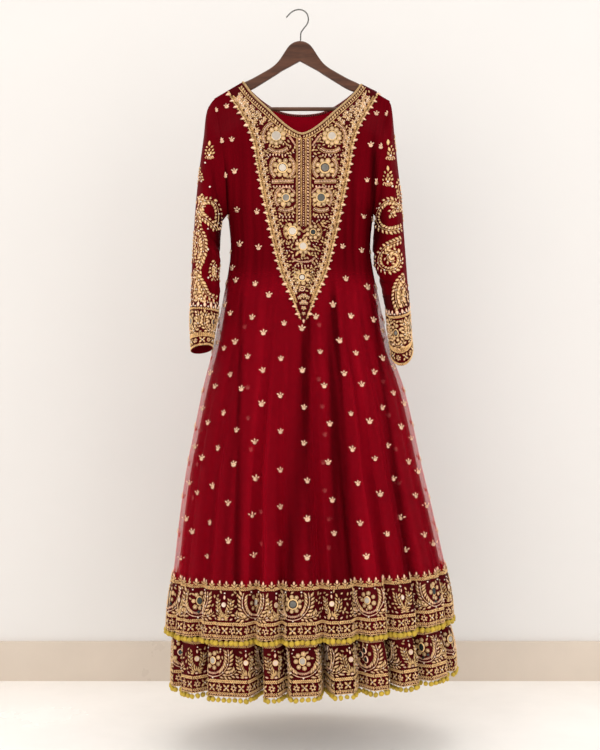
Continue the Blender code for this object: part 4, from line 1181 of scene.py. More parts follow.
def level_cloth(
    name, suffix, slot, surface, start, top, bottom, columns, rows, thickness, finish, lift=0.0, strength=1.0
):
    """Cloth between two level rows of a half of the gown."""
    shop = workshop()
    found, z = np.linspace(start, start + 1, columns), np.linspace(top, bottom, rows)[:, None]
    grid = spread_over(found, z, surface, start)
    piece = cloth_wall(f"{name}_{suffix}", grid, thickness, shop[finish], shop[finish], lift=lift)
    add_values(piece, "bunch", strength * bunched_and_shaded(grid, found + 0 * z, z + 0 * found))
    return hand_over(piece, slot, name)


def under_panel(name, start):
    rows, wall = (UNDER_COLUMNS, UNDER_ROW_COUNT), bpy.context.scene.gown_cloth.wall
    level_cloth(name, "satin", "lining", under_point, start, UNDER_TOP_Z, UNDER_HEM_Z, *rows, wall, "satin")


def band(name, surface, start, top, bottom):
    """The ground of a border, lying on the last stretch of a panel."""
    level_cloth(
        name, "ground", "border", surface, start, top, bottom, 320, 9, GROUND_WALL, "ground", GROUND_LIFT, 0.6
    )


SLEEVES = {
    "right": Sleeve(-1, SLEEVE_RIGHT_ARM),
    "left": Sleeve(1, SLEEVE_LEFT_ARM),
}


def sleeve_fold_shade(shape, u, v):
    """Painted shade of a sleeve: next to the body below the armhole, and in its creases, with a faint painted highlight
    where a crease stands out.
    """
    inner = np.minimum(1.1, 2.2 * bump(u, 0.5, 0.26) * bump(v, 0.3, 0.24))
    made = inner + 0.35 * bump(u, 0.3 if shape.side < 0 else 0.7, 0.05) * bump(v, 0.45, 0.42)
    for at, half, deep, where in SLEEVE_CREASES:
        slope = v + 0.05 * np.sin(2 * math.pi * u)
        made += deep / 0.012 * bump(slope, at, half) * bump(u, where, 0.3)
    return np.clip(made - 0.1, -1, 1)


def sleeve_cloth(arm):
    shop, cloth = workshop(), bpy.context.scene.gown_cloth
    shape = SLEEVES[arm]
    u, v = np.linspace(0, 1, 76, endpoint=False)[None, :], np.linspace(0, 1, 96)[:, None]
    grid = shape.point(u, v)
    grid[0, :, 0] -= shape.side * 0.0018
    sleeve = cloth_wall(f"sleeve_{arm}_net", grid, cloth.wall, shop["net"], shop["lining"], is_closed=True)
    add_values(sleeve, "sheer", [0.0])
    add_values(sleeve, "bunch", sleeve_fold_shade(shape, u, v))
    hand_over(sleeve, "net", f"sleeve_{arm}")
    name, ground = f"cuff_border_{arm}", shop["ground"]
    grid = shape.point(u, np.linspace(shape.stations[CUFF_FIRST_RING], 1, 20)[:, None])
    cuff = cloth_wall(f"{name}_ground", grid, GROUND_WALL, ground, ground, GROUND_LIFT, is_closed=True)
    hand_over(cuff, "border", name)


def neck_edge(z):
    """Half width of the front neckline at a height, from the gown's middle."""
    middle, half_width = neck_sizes()
    neck_top = shoulder_z(middle + half_width * NECK_SHARE)
    share = np.clip(1 - (z - neck_top) / (FRONT_NECK_Z - neck_top), 0, 1) ** (1 / FRONT_NECK_POWER)
    return smooth_read(SECTIONS, z, 1) * share * NECK_SHARE


YOKE_SIDE_TURN_Z = -0.332  # where the sides of the yoke's ground stop following the neck's


def yoke_patch():
    """The yoke's ground as points of the front view: two sides that join below the neck's point."""
    rows_above, rows_below, across = 26, 60, 22
    (edge_top, _), (point_z, _) = YOKE_EDGE[0], YOKE_EDGE[-1]

    def falling(top, turn):
        return np.concatenate([np.linspace(top, turn, rows_above), np.linspace(turn, point_z, rows_below + 1)[1:]])

    inner_z = falling(NECK_Z - 0.0016, FRONT_NECK_Z)
    out_z = falling(edge_top + 0.0022, YOKE_SIDE_TURN_Z)
    inner = np.concatenate([neck_edge(inner_z[:rows_above]), np.zeros(rows_below)])
    edge = np.array(YOKE_EDGE)
    out_x = np.interp(-out_z, -edge[:, 0], edge[:, 1])
    share = np.linspace(0, 1, across)
    corners, faces = [], []
    for number, side in enumerate((-1, 1)):
        start_x = np.where(inner > 0, smooth_read(SECTIONS, inner_z, 4) + side * inner, YOKE_MIDDLE_X)
        end_x = YOKE_MIDDLE_X + side * out_x
        x = start_x[:, None] * (1 - share) + end_x[:, None] * share
        z = inner_z[:, None] * (1 - share) + out_z[:, None] * share
        if side < 0:
            x, z = x[:, ::-1], z[:, ::-1]
        corners.append(np.stack([x, z], axis=-1).reshape(-1, 2))
        faces.append(quads(number * x.size + np.arange(x.size).reshape(x.shape)))
    return np.vstack(corners), np.vstack(faces)


def thick_patch(name, flat, faces, lift, thickness, finish):
    """A closed wall over any patch of the front view, one face of it lifted off the outer layer."""
    _, kept, number = np.unique(np.round(flat, 6), axis=0, return_index=True, return_inverse=True)
    flat, faces = flat[kept], number.reshape(-1)[faces]
    points, _, _, out = frames_on(outer_point, place_of(flat[:, 0], flat[:, 1]), flat[:, 1])
    shift = len(points)
    loops = [[corner for k, corner in enumerate(face) if corner != face[k - 1]] for face in faces.tolist()]
    edges = dict.fromkeys((a, b) for loop in loops for a, b in zip(loop, loop[1:] + loop[:1]))
    rim = [(b, a) for a, b in edges if (b, a) not in edges]
    solid = []
    for loop in loops:
        if len(loop) > 2:
            solid += [loop, [corner + shift for corner in reversed(loop)]]
    solid += [[a, b, b + shift, a + shift] for a, b in rim]
    piece = new_piece(name, np.vstack([points + out * lift, points + out * (lift - thickness)]), solid, [finish])
    add_uv(piece, np.vstack([flat, flat]))
    return piece


def yoke_ground():
    piece = thick_patch("yoke_ground", *yoke_patch(), GROUND_LIFT, GROUND_WALL, workshop()["ground"])
    return hand_over(piece, "embroidery", "yoke")


# ---- cord round the neck
def neck_route(per_half=150):
    """Points all round the neck edge, just above it."""
    lines = []
    neck = math.acos(NECK_SHARE) / math.pi
    for start in (0, 1):
        found = np.linspace(start + neck, start + 1 - neck, per_half)
        reading, z = half_of(found, start), top_z(found, start == 0)
        edge = outer_point(reading, z)
        lines.append((edge + unit(edge - outer_point(reading, z - 0.004)) * 0.0012)[:-1])
    route = np.vstack(lines)
    for _ in range(3):
        route = (np.roll(route, 1, axis=0) + 2 * route + np.roll(route, -1, axis=0)) / 4
    return route


def neck_cord(strands=6, pitch=0.0042):
    """The cord round the neck, and the plait of leaf stitches that covers it, both darkened on the back half with
    painted shade.
    """
    shop, trims = workshop(), bpy.context.scene.gown_trims
    route = neck_route()
    cord = swept_tube("neck_piping_cord", route, trims.piping_radius, 12, shop["gold"], is_loop=True)
    add_values(cord, "tone", [0.15])
    # The back half of the cord takes the dark ground finish: painted shade inside the back neck.
    cord.data.materials.append(shop["ground"])
    faces = len(cord.data.polygons)
    cord.data.polygons.foreach_set("material_index", (np.arange(faces) >= faces / 2).astype(np.int32))
    hand_over(cord, "embroidery", "neck_piping")
    along = closed(unit(np.roll(route, -1, axis=0) - np.roll(route, 1, axis=0)))
    travel = travel_of(closed(route))
    turns = round(travel[-1] / pitch)
    rows, frames = [], []
    for strand in range(strands):
        wanted = (np.arange(turns) + strand / strands) * travel[-1] / turns
        at, way = (read_line(line, travel, wanted) for line in (closed(route), along))
        side = unit(np.cross(way, [0.0, 0.0, 1.0]))
        angle = strand * math.pi / 3 + 0.4
        out = side * math.cos(angle) + np.cross(side, way) * math.sin(angle)
        frames.append((at + out * (trims.piping_radius - 0.0004), way, np.cross(out, way), out))
        is_back = np.interp(wanted, travel, np.arange(len(travel))) > len(route) / 2
        # The back half of the plait is in shaded rose thread: painted shade inside the back neck.
        finish = np.where(is_back, SHADED_ROSE, GOLD)
        rows.append(stitches(LEAF, wanted, 0, 0.7, 0.0046, 0.0024, 0.0011, finish=finish, tone=0.35))
    joined = [np.vstack(parts) for parts in zip(*frames)]
    return sew("neck_plait", joined, varied(np.vstack(rows), 11), "embroidery")


# ---- pompoms
POMPOM_DROP = 0.0086


def along_edge(surface, start, z, count=1200):
    """Places along a level row, and how far along the cloth each lies."""
    reading = half_of(np.linspace(start, start + 1, count), start)
    return reading, travel_of(surface(reading, np.full(count, z)))


def pompom_row(name, surface, start, z, pitch, drop, size, seed):
    """Pompoms that hang on short loops along a hem."""
    found, travel = along_edge(surface, start, z)
    count = round(travel[-1] / pitch)
    at = (np.arange(count) + 0.5) * travel[-1] / count
    chance = np.random.default_rng(seed)
    points, along, _, out = frames_on(surface, np.interp(at, travel, found), np.full(count, z + 0.0008))
    up = np.array([0.0, 0.0, 1.0])
    level = unit(out * [1, 1, 0])
    sway = chance.normal(0, 0.0006, (count, 1))
    centres = points - up * (drop + chance.normal(0, 0.0005, (count, 1))) + level * sway
    tufts = stitches(POMPOM, at, 0, chance.uniform(0, 6.28, count), size, size, size * 0.92, finish=YARN)
    tufts[:, [LENGTH, WIDTH]] *= 1 + chance.normal(0, 0.05, (count, 1))
    tufts[:, TONE] = chance.uniform(0.3, 0.8, count)
    knots = stitches(KNOT, at, 0, 0, 0.003, 0.003, 0.0026, finish=GOLD, tone=0.5)
    loops = stitches(LINK, at, 0, math.pi / 2, drop - size * 0.4, 0.0012, 0.001, finish=GOLD, tone=0.35)
    necks = points - up * (drop - size * 0.5) + level * 0.0004
    middles = points - up * (drop - size * 0.4) * 0.5
    ways = (np.vstack([way] * 3) for way in (along, np.broadcast_to(up, along.shape), level))
    frames = (np.vstack([centres, necks, middles]), *ways)
    return sew(f"{name}_yarn", frames, np.vstack([tufts, knots, loops]), "pompom", (name,))


# ---- motifs
def drops(x0, x1, y, pitch=0.0072, size=0.0062, sag=0.0):
    """A row of small hanging drops."""
    count = max(2, round(abs(x1 - x0) / pitch))
    share = (np.arange(count) + 0.5) / count
    x, lower = x0 + (x1 - x0) * share, sag * 4 * share * (1 - share)
    return leaf(x, y - lower, -math.pi / 2, size, size * 0.62, 0.0018, finish=ROSE, tone=0.75)


@gathered
def plait(line, width=0.0046, pitch=0.0034, finish=GOLD, tone=0.6):
    """A thick couched line: two rows of slanted stitches that meet in its middle."""
    for side in (1, -1):
        yield row_along(
            LINK, line, pitch, pitch * 1.25, width * 0.42, 0.0014, off=side * width * 0.25, lean=side * 0.55,
            finish=finish, tone=tone,
        )


@gathered
def padded_band(line, width=0.008):
    """A padded crescent: a slanted filling between two couched edges."""
    yield row_along(LEAF, line, 0.0036, width * 0.95, 0.0034, 0.002, lean=1.1, finish=ROSE, tone=0.6)
    for side in (0.5, -0.5):
        yield row_along(LINK, line, 0.0042, 0.0048, 0.0016, 0.0016, off=side * width, tone=0.7)


@gathered
def round_flower(radius, count=8, petal=0.0085, tone=0.8, tall=1.0, rows=1):
    """A mirror in a beaded bezel, with round petals, each with a raised middle."""
    reach = radius + 0.003 + petal * 0.42
    quarter = math.pi / 2
    yield stitches(DISC, 0, 0, quarter, 2 * radius * tall, 2 * radius, 0.0014, 0.0012, MIRROR, tone)
    yield stitches(RING, 0, 0, quarter, 2.5 * radius * tall + 0.002, 2.5 * radius + 0.002, 0.0026, tone=0.85)
    angles = (np.arange(count) + 0.5) * 2 * math.pi / count
    px, py = reach * np.cos(angles), reach * tall**0.5 * np.sin(angles)
    yield stitches(KNOT, px, py, angles, petal * 1.08, petal * 1.04, 0.001, tone=0.28)
    yield leaf(px * 1.04, py * 1.04, angles, petal * 0.78, petal * 0.52, 0.0016, finish=ROSE, tone=0.45)
    if rows > 1:
        yield petals(angles + math.pi / count, reach + petal * 0.62, 0.0062, 0.004, 0.0018, tone=0.8)


def lotus(count=9, size=0.0115):
    """A fan of pointed petals on a flat base."""
    angles = np.radians(np.linspace(4, 176, count))
    lengths = size * (0.75 + 0.35 * np.sin(angles))
    fan = petals(angles, 0.0035 + lengths * 0.5, lengths, 0.004, 0.0018, tone=0.7)
    return np.vstack([fan, stitches(KNOT, 0, 0.0012, 0, 0.0075, 0.005, 0.0022, finish=ROSE, tone=0.5)])


@gathered
def garland(line, length=0.0104, rows=2, pitch=0.0076, slim=0.6):
    """A thick leafy garland: round leaves in turn on both sides of a stem, with pearls here and there."""
    yield chain(line, 0.0036, 0.0042, 0.002, tone=0.4)
    for side in (1, -1):
        for level in range(rows):
            size, off = length * (1 - 0.42 * level), length * (0.5 - 0.06 * level)
            tall, look = (0.003, {"finish": ROSE, "tone": 0.9}) if level else (0.0022, {})
            yield row_along(
                LEAF, line, pitch, size, size * slim, tall, off=side * off, lean=side * 0.72, offset=0.25 * side, **look
            )
    x, y, _ = walk(line, pitch * 3)
    yield bead(KNOT, x, y, 0.003, 0.0034, finish=PEARL, tone=0.8)


@gathered
def tiered_sprig():
    """A taller sprig: a pointed bud over stepped rows of petals."""
    yield leaf(0, 0.015, math.pi / 2, 0.011, 0.0058, 0.002, tone=0.8)
    for y, half, count in ((0.008, 0.005, 2), (0.002, 0.0068, 3), (-0.0045, 0.008, 4)):
        x = np.linspace(-half, half, count)
        yield leaf(x, y, math.pi / 2 - x / half * 0.8, 0.0078, 0.0044, 0.002, tone=0.6)
    yield padded_band(arc(0.0082, 200, 340, 0, -0.0085, 0.7, 12), 0.0042)
    yield bead(KNOT, 0, -0.0092, 0.0046, 0.0026, finish=PEARL, tone=0.8)


def small_ring_flower():
    angles = np.arange(6) * math.pi / 3 + 0.3
    knots = bead(KNOT, 0.0042 * np.cos(angles), 0.0042 * np.sin(angles), 0.0036, 0.0018, tone=0.6)
    return np.vstack([knots, bead(RING, 0, 0, 0.0062, 0.0016, finish=ROSE, tone=0.9)])


def cross_flower():
    cross = petals(math.pi / 4 + np.arange(4) * math.pi / 2, 0.0052, 0.0088, 0.0046, 0.0018, tone=0.75)
    return np.vstack([cross, bead(KNOT, 0, 0, 0.0034, 0.0026, finish=PEARL, tone=0.8)])


@gathered
def flower_row(length, pitch, y, sizes):
    """Small flowers of two kinds in turn, with dots over and under one kind where its size says so."""
    count = round(length / pitch)
    for k in range(count):
        at, motif = (k + 0.5) * (length / count), cross_flower() if k % 2 else small_ring_flower()
        yield put(motif, at, y, 0, sizes[k % 2])
        if sizes[0] > 1 and k % 2 == 0:
            for side in (-1, 1):
                yield bead(KNOT, at, y + side * 0.0088, 0.0026, 0.0018, finish=ROSE)


PETAL_SHARE = 0.9  # of the filling that is petals, the rest being beads


def filled(work, inside, spacing, reach, seed, width, bottom, top):
    """Small petals and beads wherever the ground between the other stitches is still bare."""
    chance = np.random.default_rng(seed)
    x, y = np.meshgrid(np.arange(-width, width, spacing), np.arange(bottom, top, spacing * 0.87))
    x = x + (np.arange(len(x)) % 2)[:, None] * spacing / 2
    x, y = (side.ravel() + chance.uniform(-0.25, 0.25, side.size) * spacing for side in (x, y))
    keep = inside(x, y)
    x, y = x[keep], y[keep]
    sizes = np.maximum(work[:, LENGTH], work[:, WIDTH]) * 0.36
    gap = np.hypot(x[:, None] - work[:, X], y[:, None] - work[:, Y]) - sizes
    keep = gap.min(axis=1) > reach
    x, y = x[keep], y[keep]
    turn, is_petal = chance.uniform(0, 6.28, len(x)), chance.uniform(0, 1, len(x)) < PETAL_SHARE
    broad = leaf(x, y, turn, 0.009, 0.0046, 0.0018, tone=0.45)[is_petal]
    shines = leaf(x, y, turn, 0.0054, 0.0028, 0.0025, finish=ROSE, tone=0.7)[is_petal][::2]
    return np.vstack([work, broad, shines, bead(KNOT, x, y, 0.0034, 0.002, finish=PEARL, tone=0.3)[~is_petal]])


# ---- hem borders
HEM_FLOWERS_X = (-0.22, -0.092, -0.012, 0.15, 0.3)
HEM_KINDS = ("dark", "dark", "gold", "blue", "gold")
UNDER_FLOWERS_X = (-0.185, -0.075, 0.01, 0.145, 0.275)
UNDER_KINDS = ("green", "gold", "dark", "gold", "pearl")
# Heights above the edge of the cloth
SMALL_BAND = 0.0185
MIDDLE_LINE = 0.0322
WIDE_BAND = 0.07
UPPER_LINE = 0.1045
EDGING = 0.109
EDGING_PITCH = 0.0195
GROUP_PITCH = 0.15


def level(x0, x1, y, step=0.004):
    x = np.arange(x0, x1 + step, step)
    return np.stack([x, np.full(len(x), y)], axis=1)


@gathered
def border_lines(length):
    """Couched lines, dashes over the pompoms, the band of small flowers and the pointed edging."""
    yield chain(level(0, length, 0.001), 0.0044, 0.005, 0.0022, tone=0.7)
    dashes = round(length / 0.0058)
    at = (np.arange(dashes) + 0.5) * length / dashes
    yield leaf(at, 0.004, 1.2, 0.0034, 0.002, 0.0014, finish=ROSE, tone=0.8)
    for y, width in ((0.0068, 0.0046), (MIDDLE_LINE, 0.0066), (UPPER_LINE, 0.0046)):
        yield plait(level(0, length, y), width, 0.0042, tone=0.72)
    yield flower_row(length, 0.0172, SMALL_BAND, (1.25, 1.08))
    count = round(length / EDGING_PITCH)
    pitch = length / count
    for k in range(count):
        yield put(edging_tooth(), (k + 0.5) * pitch, EDGING)
    arcs = np.concatenate([[k * pitch + pitch * s for s in (0.15, 0.5, 0.85)] for k in range(count)])
    rise = np.tile([0.0, 0.0026, 0.0], count)
    yield stitches(LINK, arcs, EDGING - 0.0008 + rise * 0.4, 0, 0.0062, 0.0024, 0.0016, tone=0.6)


@gathered
def edging_tooth():
    yield leaf(0, 0.008, math.pi / 2, 0.0104, 0.0056, 0.002, finish=ROSE, tone=0.85)
    for side in (-1, 1):
        yield leaf(side * 0.0042, 0.0036, math.pi / 2 - side * 0.95, 0.0072, 0.004, 0.0018, tone=0.6)
    yield stitches(KNOT, 0, 0.0012, 0, 0.005, 0.0044, 0.002, tone=0.5)


@gathered
def border_flower(kind):
    """The middle of a group: a flower round one mirror, or a bunch of small mirrors."""
    if kind in ("dark", "blue", "gold"):
        yield round_flower(*{
            "dark": (0.0044, 7, 0.0084, 0.1, 1.45),
            "blue": (0.0062, 9, 0.008, 0.22, 1.0),
            "gold": (0.0048, 7, 0.0088, 0.6, 1.15),
        }[kind])
    if kind == "dark":
        for x, y in ((0.01, -0.013), (0.0, -0.019)):
            yield bead(DISC, x, y, 0.005, 0.0022, 0.001, MIRROR, 0.08, turn=0.7)
    elif kind == "green":
        for x, y in ((-0.007, 0.0), (0.0048, 0.0085), (0.0062, -0.007)):
            yield bead(DISC, x, y, 0.0088, 0.0022, 0.001, MIRROR, 0.08)
            yield bead(RING, x, y, 0.0128, 0.003, finish=ROSE, tone=0.95)
        for x, y in ((-0.012, 0.015), (-0.018, 0.008), (-0.016, -0.01), (0.0, -0.019), (0.016, 0.004)):
            yield bead(KNOT, x, y, 0.008, 0.0022)
    elif kind == "pearl":
        for x, y, size in ((0, 0, 0.0125), (-0.012, 0.013, 0.0115), (0.0088, 0.015, 0.01), (-0.014, -0.005, 0.009)):
            yield bead(DISC, x, y, size, 0.0022, 0.0008, MIRROR, 0.95)
            yield bead(RING, x, y, size + 0.003, 0.0024, finish=ROSE, tone=0.7)
        for x, y in ((0.0145, 0.0), (0.006, -0.013), (-0.006, -0.016)):
            yield bead(KNOT, x, y, 0.0082, 0.0024, tone=0.6)


@gathered
def border_group(kind):
    """A flower between two leafy branches that rise from one stem."""
    yield put(border_flower(kind), 0, WIDE_BAND + 0.004, 0, 1.22)
    for side in (-1, 1):
        stem = curve((0, 0.0405), (side * 0.03, 0.042), (side * 0.044, 0.07), (side * 0.036, 0.097))
        yield chain(stem, 0.0036, 0.0042, 0.002, finish=ROSE)
        yield garland(stem[4:], 0.0136, 2, 0.0074, 0.4)
        shoot = curve((side * 0.03, 0.045), (side * 0.048, 0.044), (side * 0.056, 0.056))
        yield garland(shoot, 0.0118, 2, 0.0072, 0.42)
    yield plait(arc(0.0255, 205, 335, 0, WIDE_BAND + 0.001, 0.92), 0.0036, 0.0036, ROSE)
    for x, y in ((-0.018, 0.098), (0.018, 0.098), (0.0, 0.0385)):
        yield bead(KNOT, x, y, 0.004, 0.0024, finish=PEARL, tone=0.9)


@gathered
def border_spacer():
    """A hanging drop and a large sequin over a lotus."""
    yield put(lotus(9, 0.0125), 0, 0.0405)
    yield bead(SEQUIN, 0, 0.072, 0.0105, 0.002, 0.0004, PEARL, 0.25)
    yield bead(RING, 0, 0.072, 0.0125, 0.0018, tone=0.6)
    yield leaf(0, 0.087, -math.pi / 2, 0.01, 0.0052, 0.0022, finish=ROSE, tone=0.9)
    yield bead(KNOT, 0, 0.096, 0.0036, 0.0024, finish=PEARL, tone=0.9)
    for side in (-1, 1):
        yield leaf(side * 0.0195, 0.042, math.pi / 2 - side * 1.2, 0.0088, 0.0044, 0.0018, finish=ROSE)
        sprig = curve((side * 0.007, 0.052), (side * 0.017, 0.06), (side * 0.016, 0.084))
        yield garland(sprig, 0.01, 1, 0.007, 0.45)


def middles_along(surface, start, z, wanted_x, found, travel):
    """How far along a hem its flowers stand: at the given x in the front, and evenly where none are given."""
    length, known = travel[-1], []
    if start == 0:
        row_x = np.maximum.accumulate(surface(found, np.full(len(found), z))[:, 0])
        known = [float(np.interp(x, row_x, travel)) for x in wanted_x]
    stops, middles = [0.0, *known, length], list(known)
    for low, high in zip(stops, stops[1:]):
        gap = high - low
        edge = (low == 0.0) + (high == length)
        spare = max(0, round(gap / GROUP_PITCH - 1 + 0.5 * edge))
        step = gap / (spare + 1 - 0.5 * edge) if spare else gap
        first = low + (step * 0.5 if low == 0.0 else step)
        middles += [first + k * step for k in range(spare)]
    return sorted(middles)


def border_work(surface, start, z, wanted_x, kinds, seed):
    found, travel = along_edge(surface, start, z + 0.05)
    length = travel[-1]
    middles = middles_along(surface, start, z + 0.05, wanted_x, found, travel)
    work = [border_lines(length)]
    work += [put(border_group(kinds[k % len(kinds)]), middle) for k, middle in enumerate(middles)]
    ends = [middles[0] - GROUP_PITCH, *middles, middles[-1] + GROUP_PITCH]
    for low, high in zip(ends, ends[1:]):
        half = (low + high) / 2
        if high - low > 0.1 and 0.012 < half < length - 0.012:
            work.append(put(border_spacer(), half))

    def inside(x, y):
        return (x > 0.004) & (x < length - 0.004) & (y > MIDDLE_LINE + 0.0065) & (y < UPPER_LINE - 0.004)

    work = filled(np.vstack(work), inside, 0.0112, 0.0032, seed, length, MIDDLE_LINE, UPPER_LINE)
    work = work[(work[:, X] > 0.0005) & (work[:, X] < length - 0.0005)]
    return varied(work, seed), found, travel


def sewn_border(name, surface, start, z, wanted_x, kinds, seed):
    work, found, travel = border_work(surface, start, z, wanted_x, kinds, seed)
    places = np.interp(work[:, X], travel, found)
    frames = frames_on(surface, places, z + work[:, Y])
    return sew(name, frames, work, "embroidery", lift=GROUND_LIFT)


# ---- yoke
YOKE_FLOWERS = (
    # x from the yoke's middle, z, mirror radius, petals, petal, how light the mirror is
    (-0.0617, -0.3036, 0.0085, 10, 0.0124, 0.7), (0.0642, -0.3036, 0.0085, 10, 0.0124, 0.82),
    (-0.0475, -0.3758, 0.0085, 8, 0.0126, 0.88), (0.0484, -0.3758, 0.0085, 8, 0.0126, 0.3),
    (-0.0396, -0.4435, 0.0075, 8, 0.0112, 0.36), (0.0394, -0.4435, 0.0075, 8, 0.0112, 0.2),
    (-0.0249, -0.518, 0.0078, 8, 0.01, 0.98), (0.0213, -0.5202, 0.006, 8, 0.0096, 0.08),
    (-0.001, -0.552, 0.0068, 8, 0.01, 0.95), (-0.0035, -0.624, 0.0062, 7, 0.0098, 0.97),
)


def inset_line(line, amount):
    """The line moved to its right, seen along its way."""
    way = unit(np.gradient(line, axis=0))
    return line + np.stack([way[:, 1], -way[:, 0]], axis=1) * amount


def yoke_edge_line(side):
    """The yoke's edge from the shoulder to its point, on one side."""
    z = np.linspace(YOKE_EDGE[0][0], YOKE_EDGE[-1][0] + 0.002, 90)
    return np.stack([side * smooth_read(YOKE_EDGE, z, 1), z], axis=1)


def neck_line(side, drop):
    """The front neck edge from the shoulder to its point, that much further down and out."""
    z = np.linspace(NECK_Z - 0.006, FRONT_NECK_Z, 50)
    middle = smooth_read(SECTIONS, z, 4) - YOKE_MIDDLE_X
    line = np.stack([middle + side * neck_edge(z), z], axis=1)
    return inset_line(line, -drop * side)


def leaf_cluster():
    """Five overlapping leaves that fan out from a bead."""
    angles = np.radians([0, 52, -52, 105, -105])
    lengths = np.array([0.0098, 0.0088, 0.0088, 0.0066, 0.0066])
    x, y = lengths * 0.5 * np.cos(angles), lengths * 0.5 * np.sin(angles)
    under = leaf(x, y, angles, lengths, 0.0056, 0.0018, tone=0.42)
    over = leaf(x * 1.1, y * 1.1, angles, lengths * 0.6, 0.003, 0.0026, finish=ROSE, tone=0.72)
    return np.vstack([under, over, bead(KNOT, 0, 0, 0.0036, 0.0028, finish=PEARL, tone=0.7)])


@gathered
def yoke_edging(side):
    """Spikes and clusters along one edge of the yoke, leaves along the neck, and the lines of the placket."""
    edge = yoke_edge_line(side)
    x, y, turn = walk(edge, 0.0093)
    out = turn + side * math.pi / 2
    for first, (reach, long, wide, kind) in enumerate(((0.0058, 0.0125, 0.007, ROSE), (0.0034, 0.0066, 0.0046, GOLD))):
        px, py, way = x[first::2], y[first::2], out[first::2]

        def pointing(lean, far):
            return px + np.cos(way + lean) * far, py + np.sin(way + lean) * far

        yield leaf(*pointing(0, reach), way + side * 0.25, long, wide, 0.0024, finish=kind, tone=0.8)
        for lean in (-0.9, 0.9):
            yield leaf(*pointing(lean, 0.0042), way + lean, long * 0.66, wide * 0.74, 0.0022, tone=0.55)
    yield plait(inset_line(edge, side * 0.0024)[2:-6], 0.0042, 0.0036, tone=0.7)
    for number, (x, y, turn) in enumerate(zip(*walk(inset_line(edge, side * 0.0098)[3:-9], 0.0092))):
        lean = turn + side * (1.9 if number % 2 else -1.1)
        yield put(leaf_cluster(), x, y, lean, (1.0, 0.88, 1.1)[number % 3])
    yield beads(inset_line(edge, side * 0.0172)[3:-12], 0.0066, 0.0032, height=0.0018)
    for size, tall, look in ((0.0086, 0.0018, {}), (0.005, 0.0025, {"finish": ROSE, "tone": 0.6})):
        wide = 0.0052 if size > 0.006 else 0.0028
        yield row_along(LEAF, neck_line(side, 0.0058), 0.0066, size, wide, tall, lean=0.9 * side, **look)
    yield chain(neck_line(side, 0.0108), 0.0038, 0.0044, 0.0022, tone=0.6)
    for x in (0.0148, 0.005):
        yield plait(np.stack([np.full(50, side * x), np.linspace(-0.307, PLACKET_END_Z, 50)], axis=1), 0.004)
    z = np.arange(-0.312, PLACKET_END_Z + 0.004, -0.007)
    yield leaf(side * 0.0098, z, -math.pi / 2 + side * 0.5, 0.0062, 0.004, 0.0018, finish=ROSE, tone=0.85)


def yoke_work():
    work = [make(side) for side in (-1, 1) for make in (yoke_edging, panel_motifs)]
    middle = np.stack([np.zeros(50), np.linspace(-0.312, PLACKET_END_Z, 50)], axis=1)
    work.append(beads(middle, 0.0052, 0.0026, finish=ROSE, height=0.0018, tone=0.8))
    corners = [[-0.0148, PLACKET_END_Z], [0.0, PLACKET_END_Z - 0.012], [0.0148, PLACKET_END_Z]]
    work.append(plait(np.array(corners), 0.004))
    for x, z, *flower in YOKE_FLOWERS:
        work.append(put(round_flower(*flower, rows=2 if z > -0.4 else 1), x, z))

    def inside(x, y):
        half = smooth_read(YOKE_EDGE, y, 1) - 0.018
        middle = smooth_read(SECTIONS, y, 4) - YOKE_MIDDLE_X
        in_neck = (y > FRONT_NECK_Z - 0.006) & (np.abs(x - middle) < neck_edge(np.maximum(y, FRONT_NECK_Z)) + 0.013)
        in_placket = (y > PLACKET_END_Z - 0.004) & (np.abs(x) < 0.017)
        return (np.abs(x) < half) & ~in_neck & ~in_placket

    return filled(np.vstack([*work, yoke_point()]), inside, 0.0076, 0.002, 5, 0.165, -0.7, -0.19)


@gathered
def panel_motifs(side):
    """Crescents, bars, drops and nested arcs of one side of the yoke, round its four flowers."""
    places = [flower[:2] for flower in YOKE_FLOWERS[side > 0 : 8 : 2]]
    # The shoulder strap: two rows of leaf clusters that follow the neck
    for row, drop in enumerate((0.0205, 0.031)):
        for number, (x, y, turn) in enumerate(zip(*walk(neck_line(side, drop)[3 + 2 * row : 32], 0.0112))):
            lean = turn + side * (2.2 if (number + row) % 2 else -0.9)
            yield put(leaf_cluster(), x, y, lean, 0.88 + 0.14 * (number % 2))
    x, z = places[0]
    yield padded_band(arc(0.03, *((105, 215) if side < 0 else (-35, 75)), x, z), 0.0074)
    for shift in (0.0, 0.0065):
        start = [x - side * (0.024 + shift), z + 0.006 - shift]
        end = [x - side * (0.04 + shift * 0.6), z - 0.016 - shift]
        yield plait(np.array([start, end]), 0.0034, 0.0034, ROSE)
    yield padded_band(arc(0.033, 228, 312, x + side * -0.004, z - 0.0045, 0.95))
    yield drops(x - 0.024, x + 0.024, z - 0.0445, sag=-0.002)
    x, z = places[1]
    for span in ((130, 232), (-52, 50)):
        yield padded_band(arc(0.0262, *span, x, z + 0.001, 1.08), 0.0068)
    yield padded_band(np.array([[x - 0.024, z - 0.0315], [x + 0.0255, z - 0.03]]), 0.0078)
    yield drops(x - 0.0235, x + 0.0265, z - 0.0425)
    x, z = places[2]
    yield padded_band(arc(0.024, *((125, 225) if side < 0 else (-45, 55)), x, z, 1.05), 0.0064)
    yield plait(arc(0.0215, 20, 160, x, z + 0.002), 0.0036, 0.0036, ROSE)
    yield padded_band(arc(0.03, 236, 304, x, z - 0.0005, 0.95), 0.0076)
    yield drops(x - 0.018, x + 0.02, z - 0.0415, sag=0.002)
    x, z = places[3]
    yield plait(arc(0.019, *((120, 240) if side < 0 else (60, -60)), x, z, 1.1), 0.0036, 0.0036)


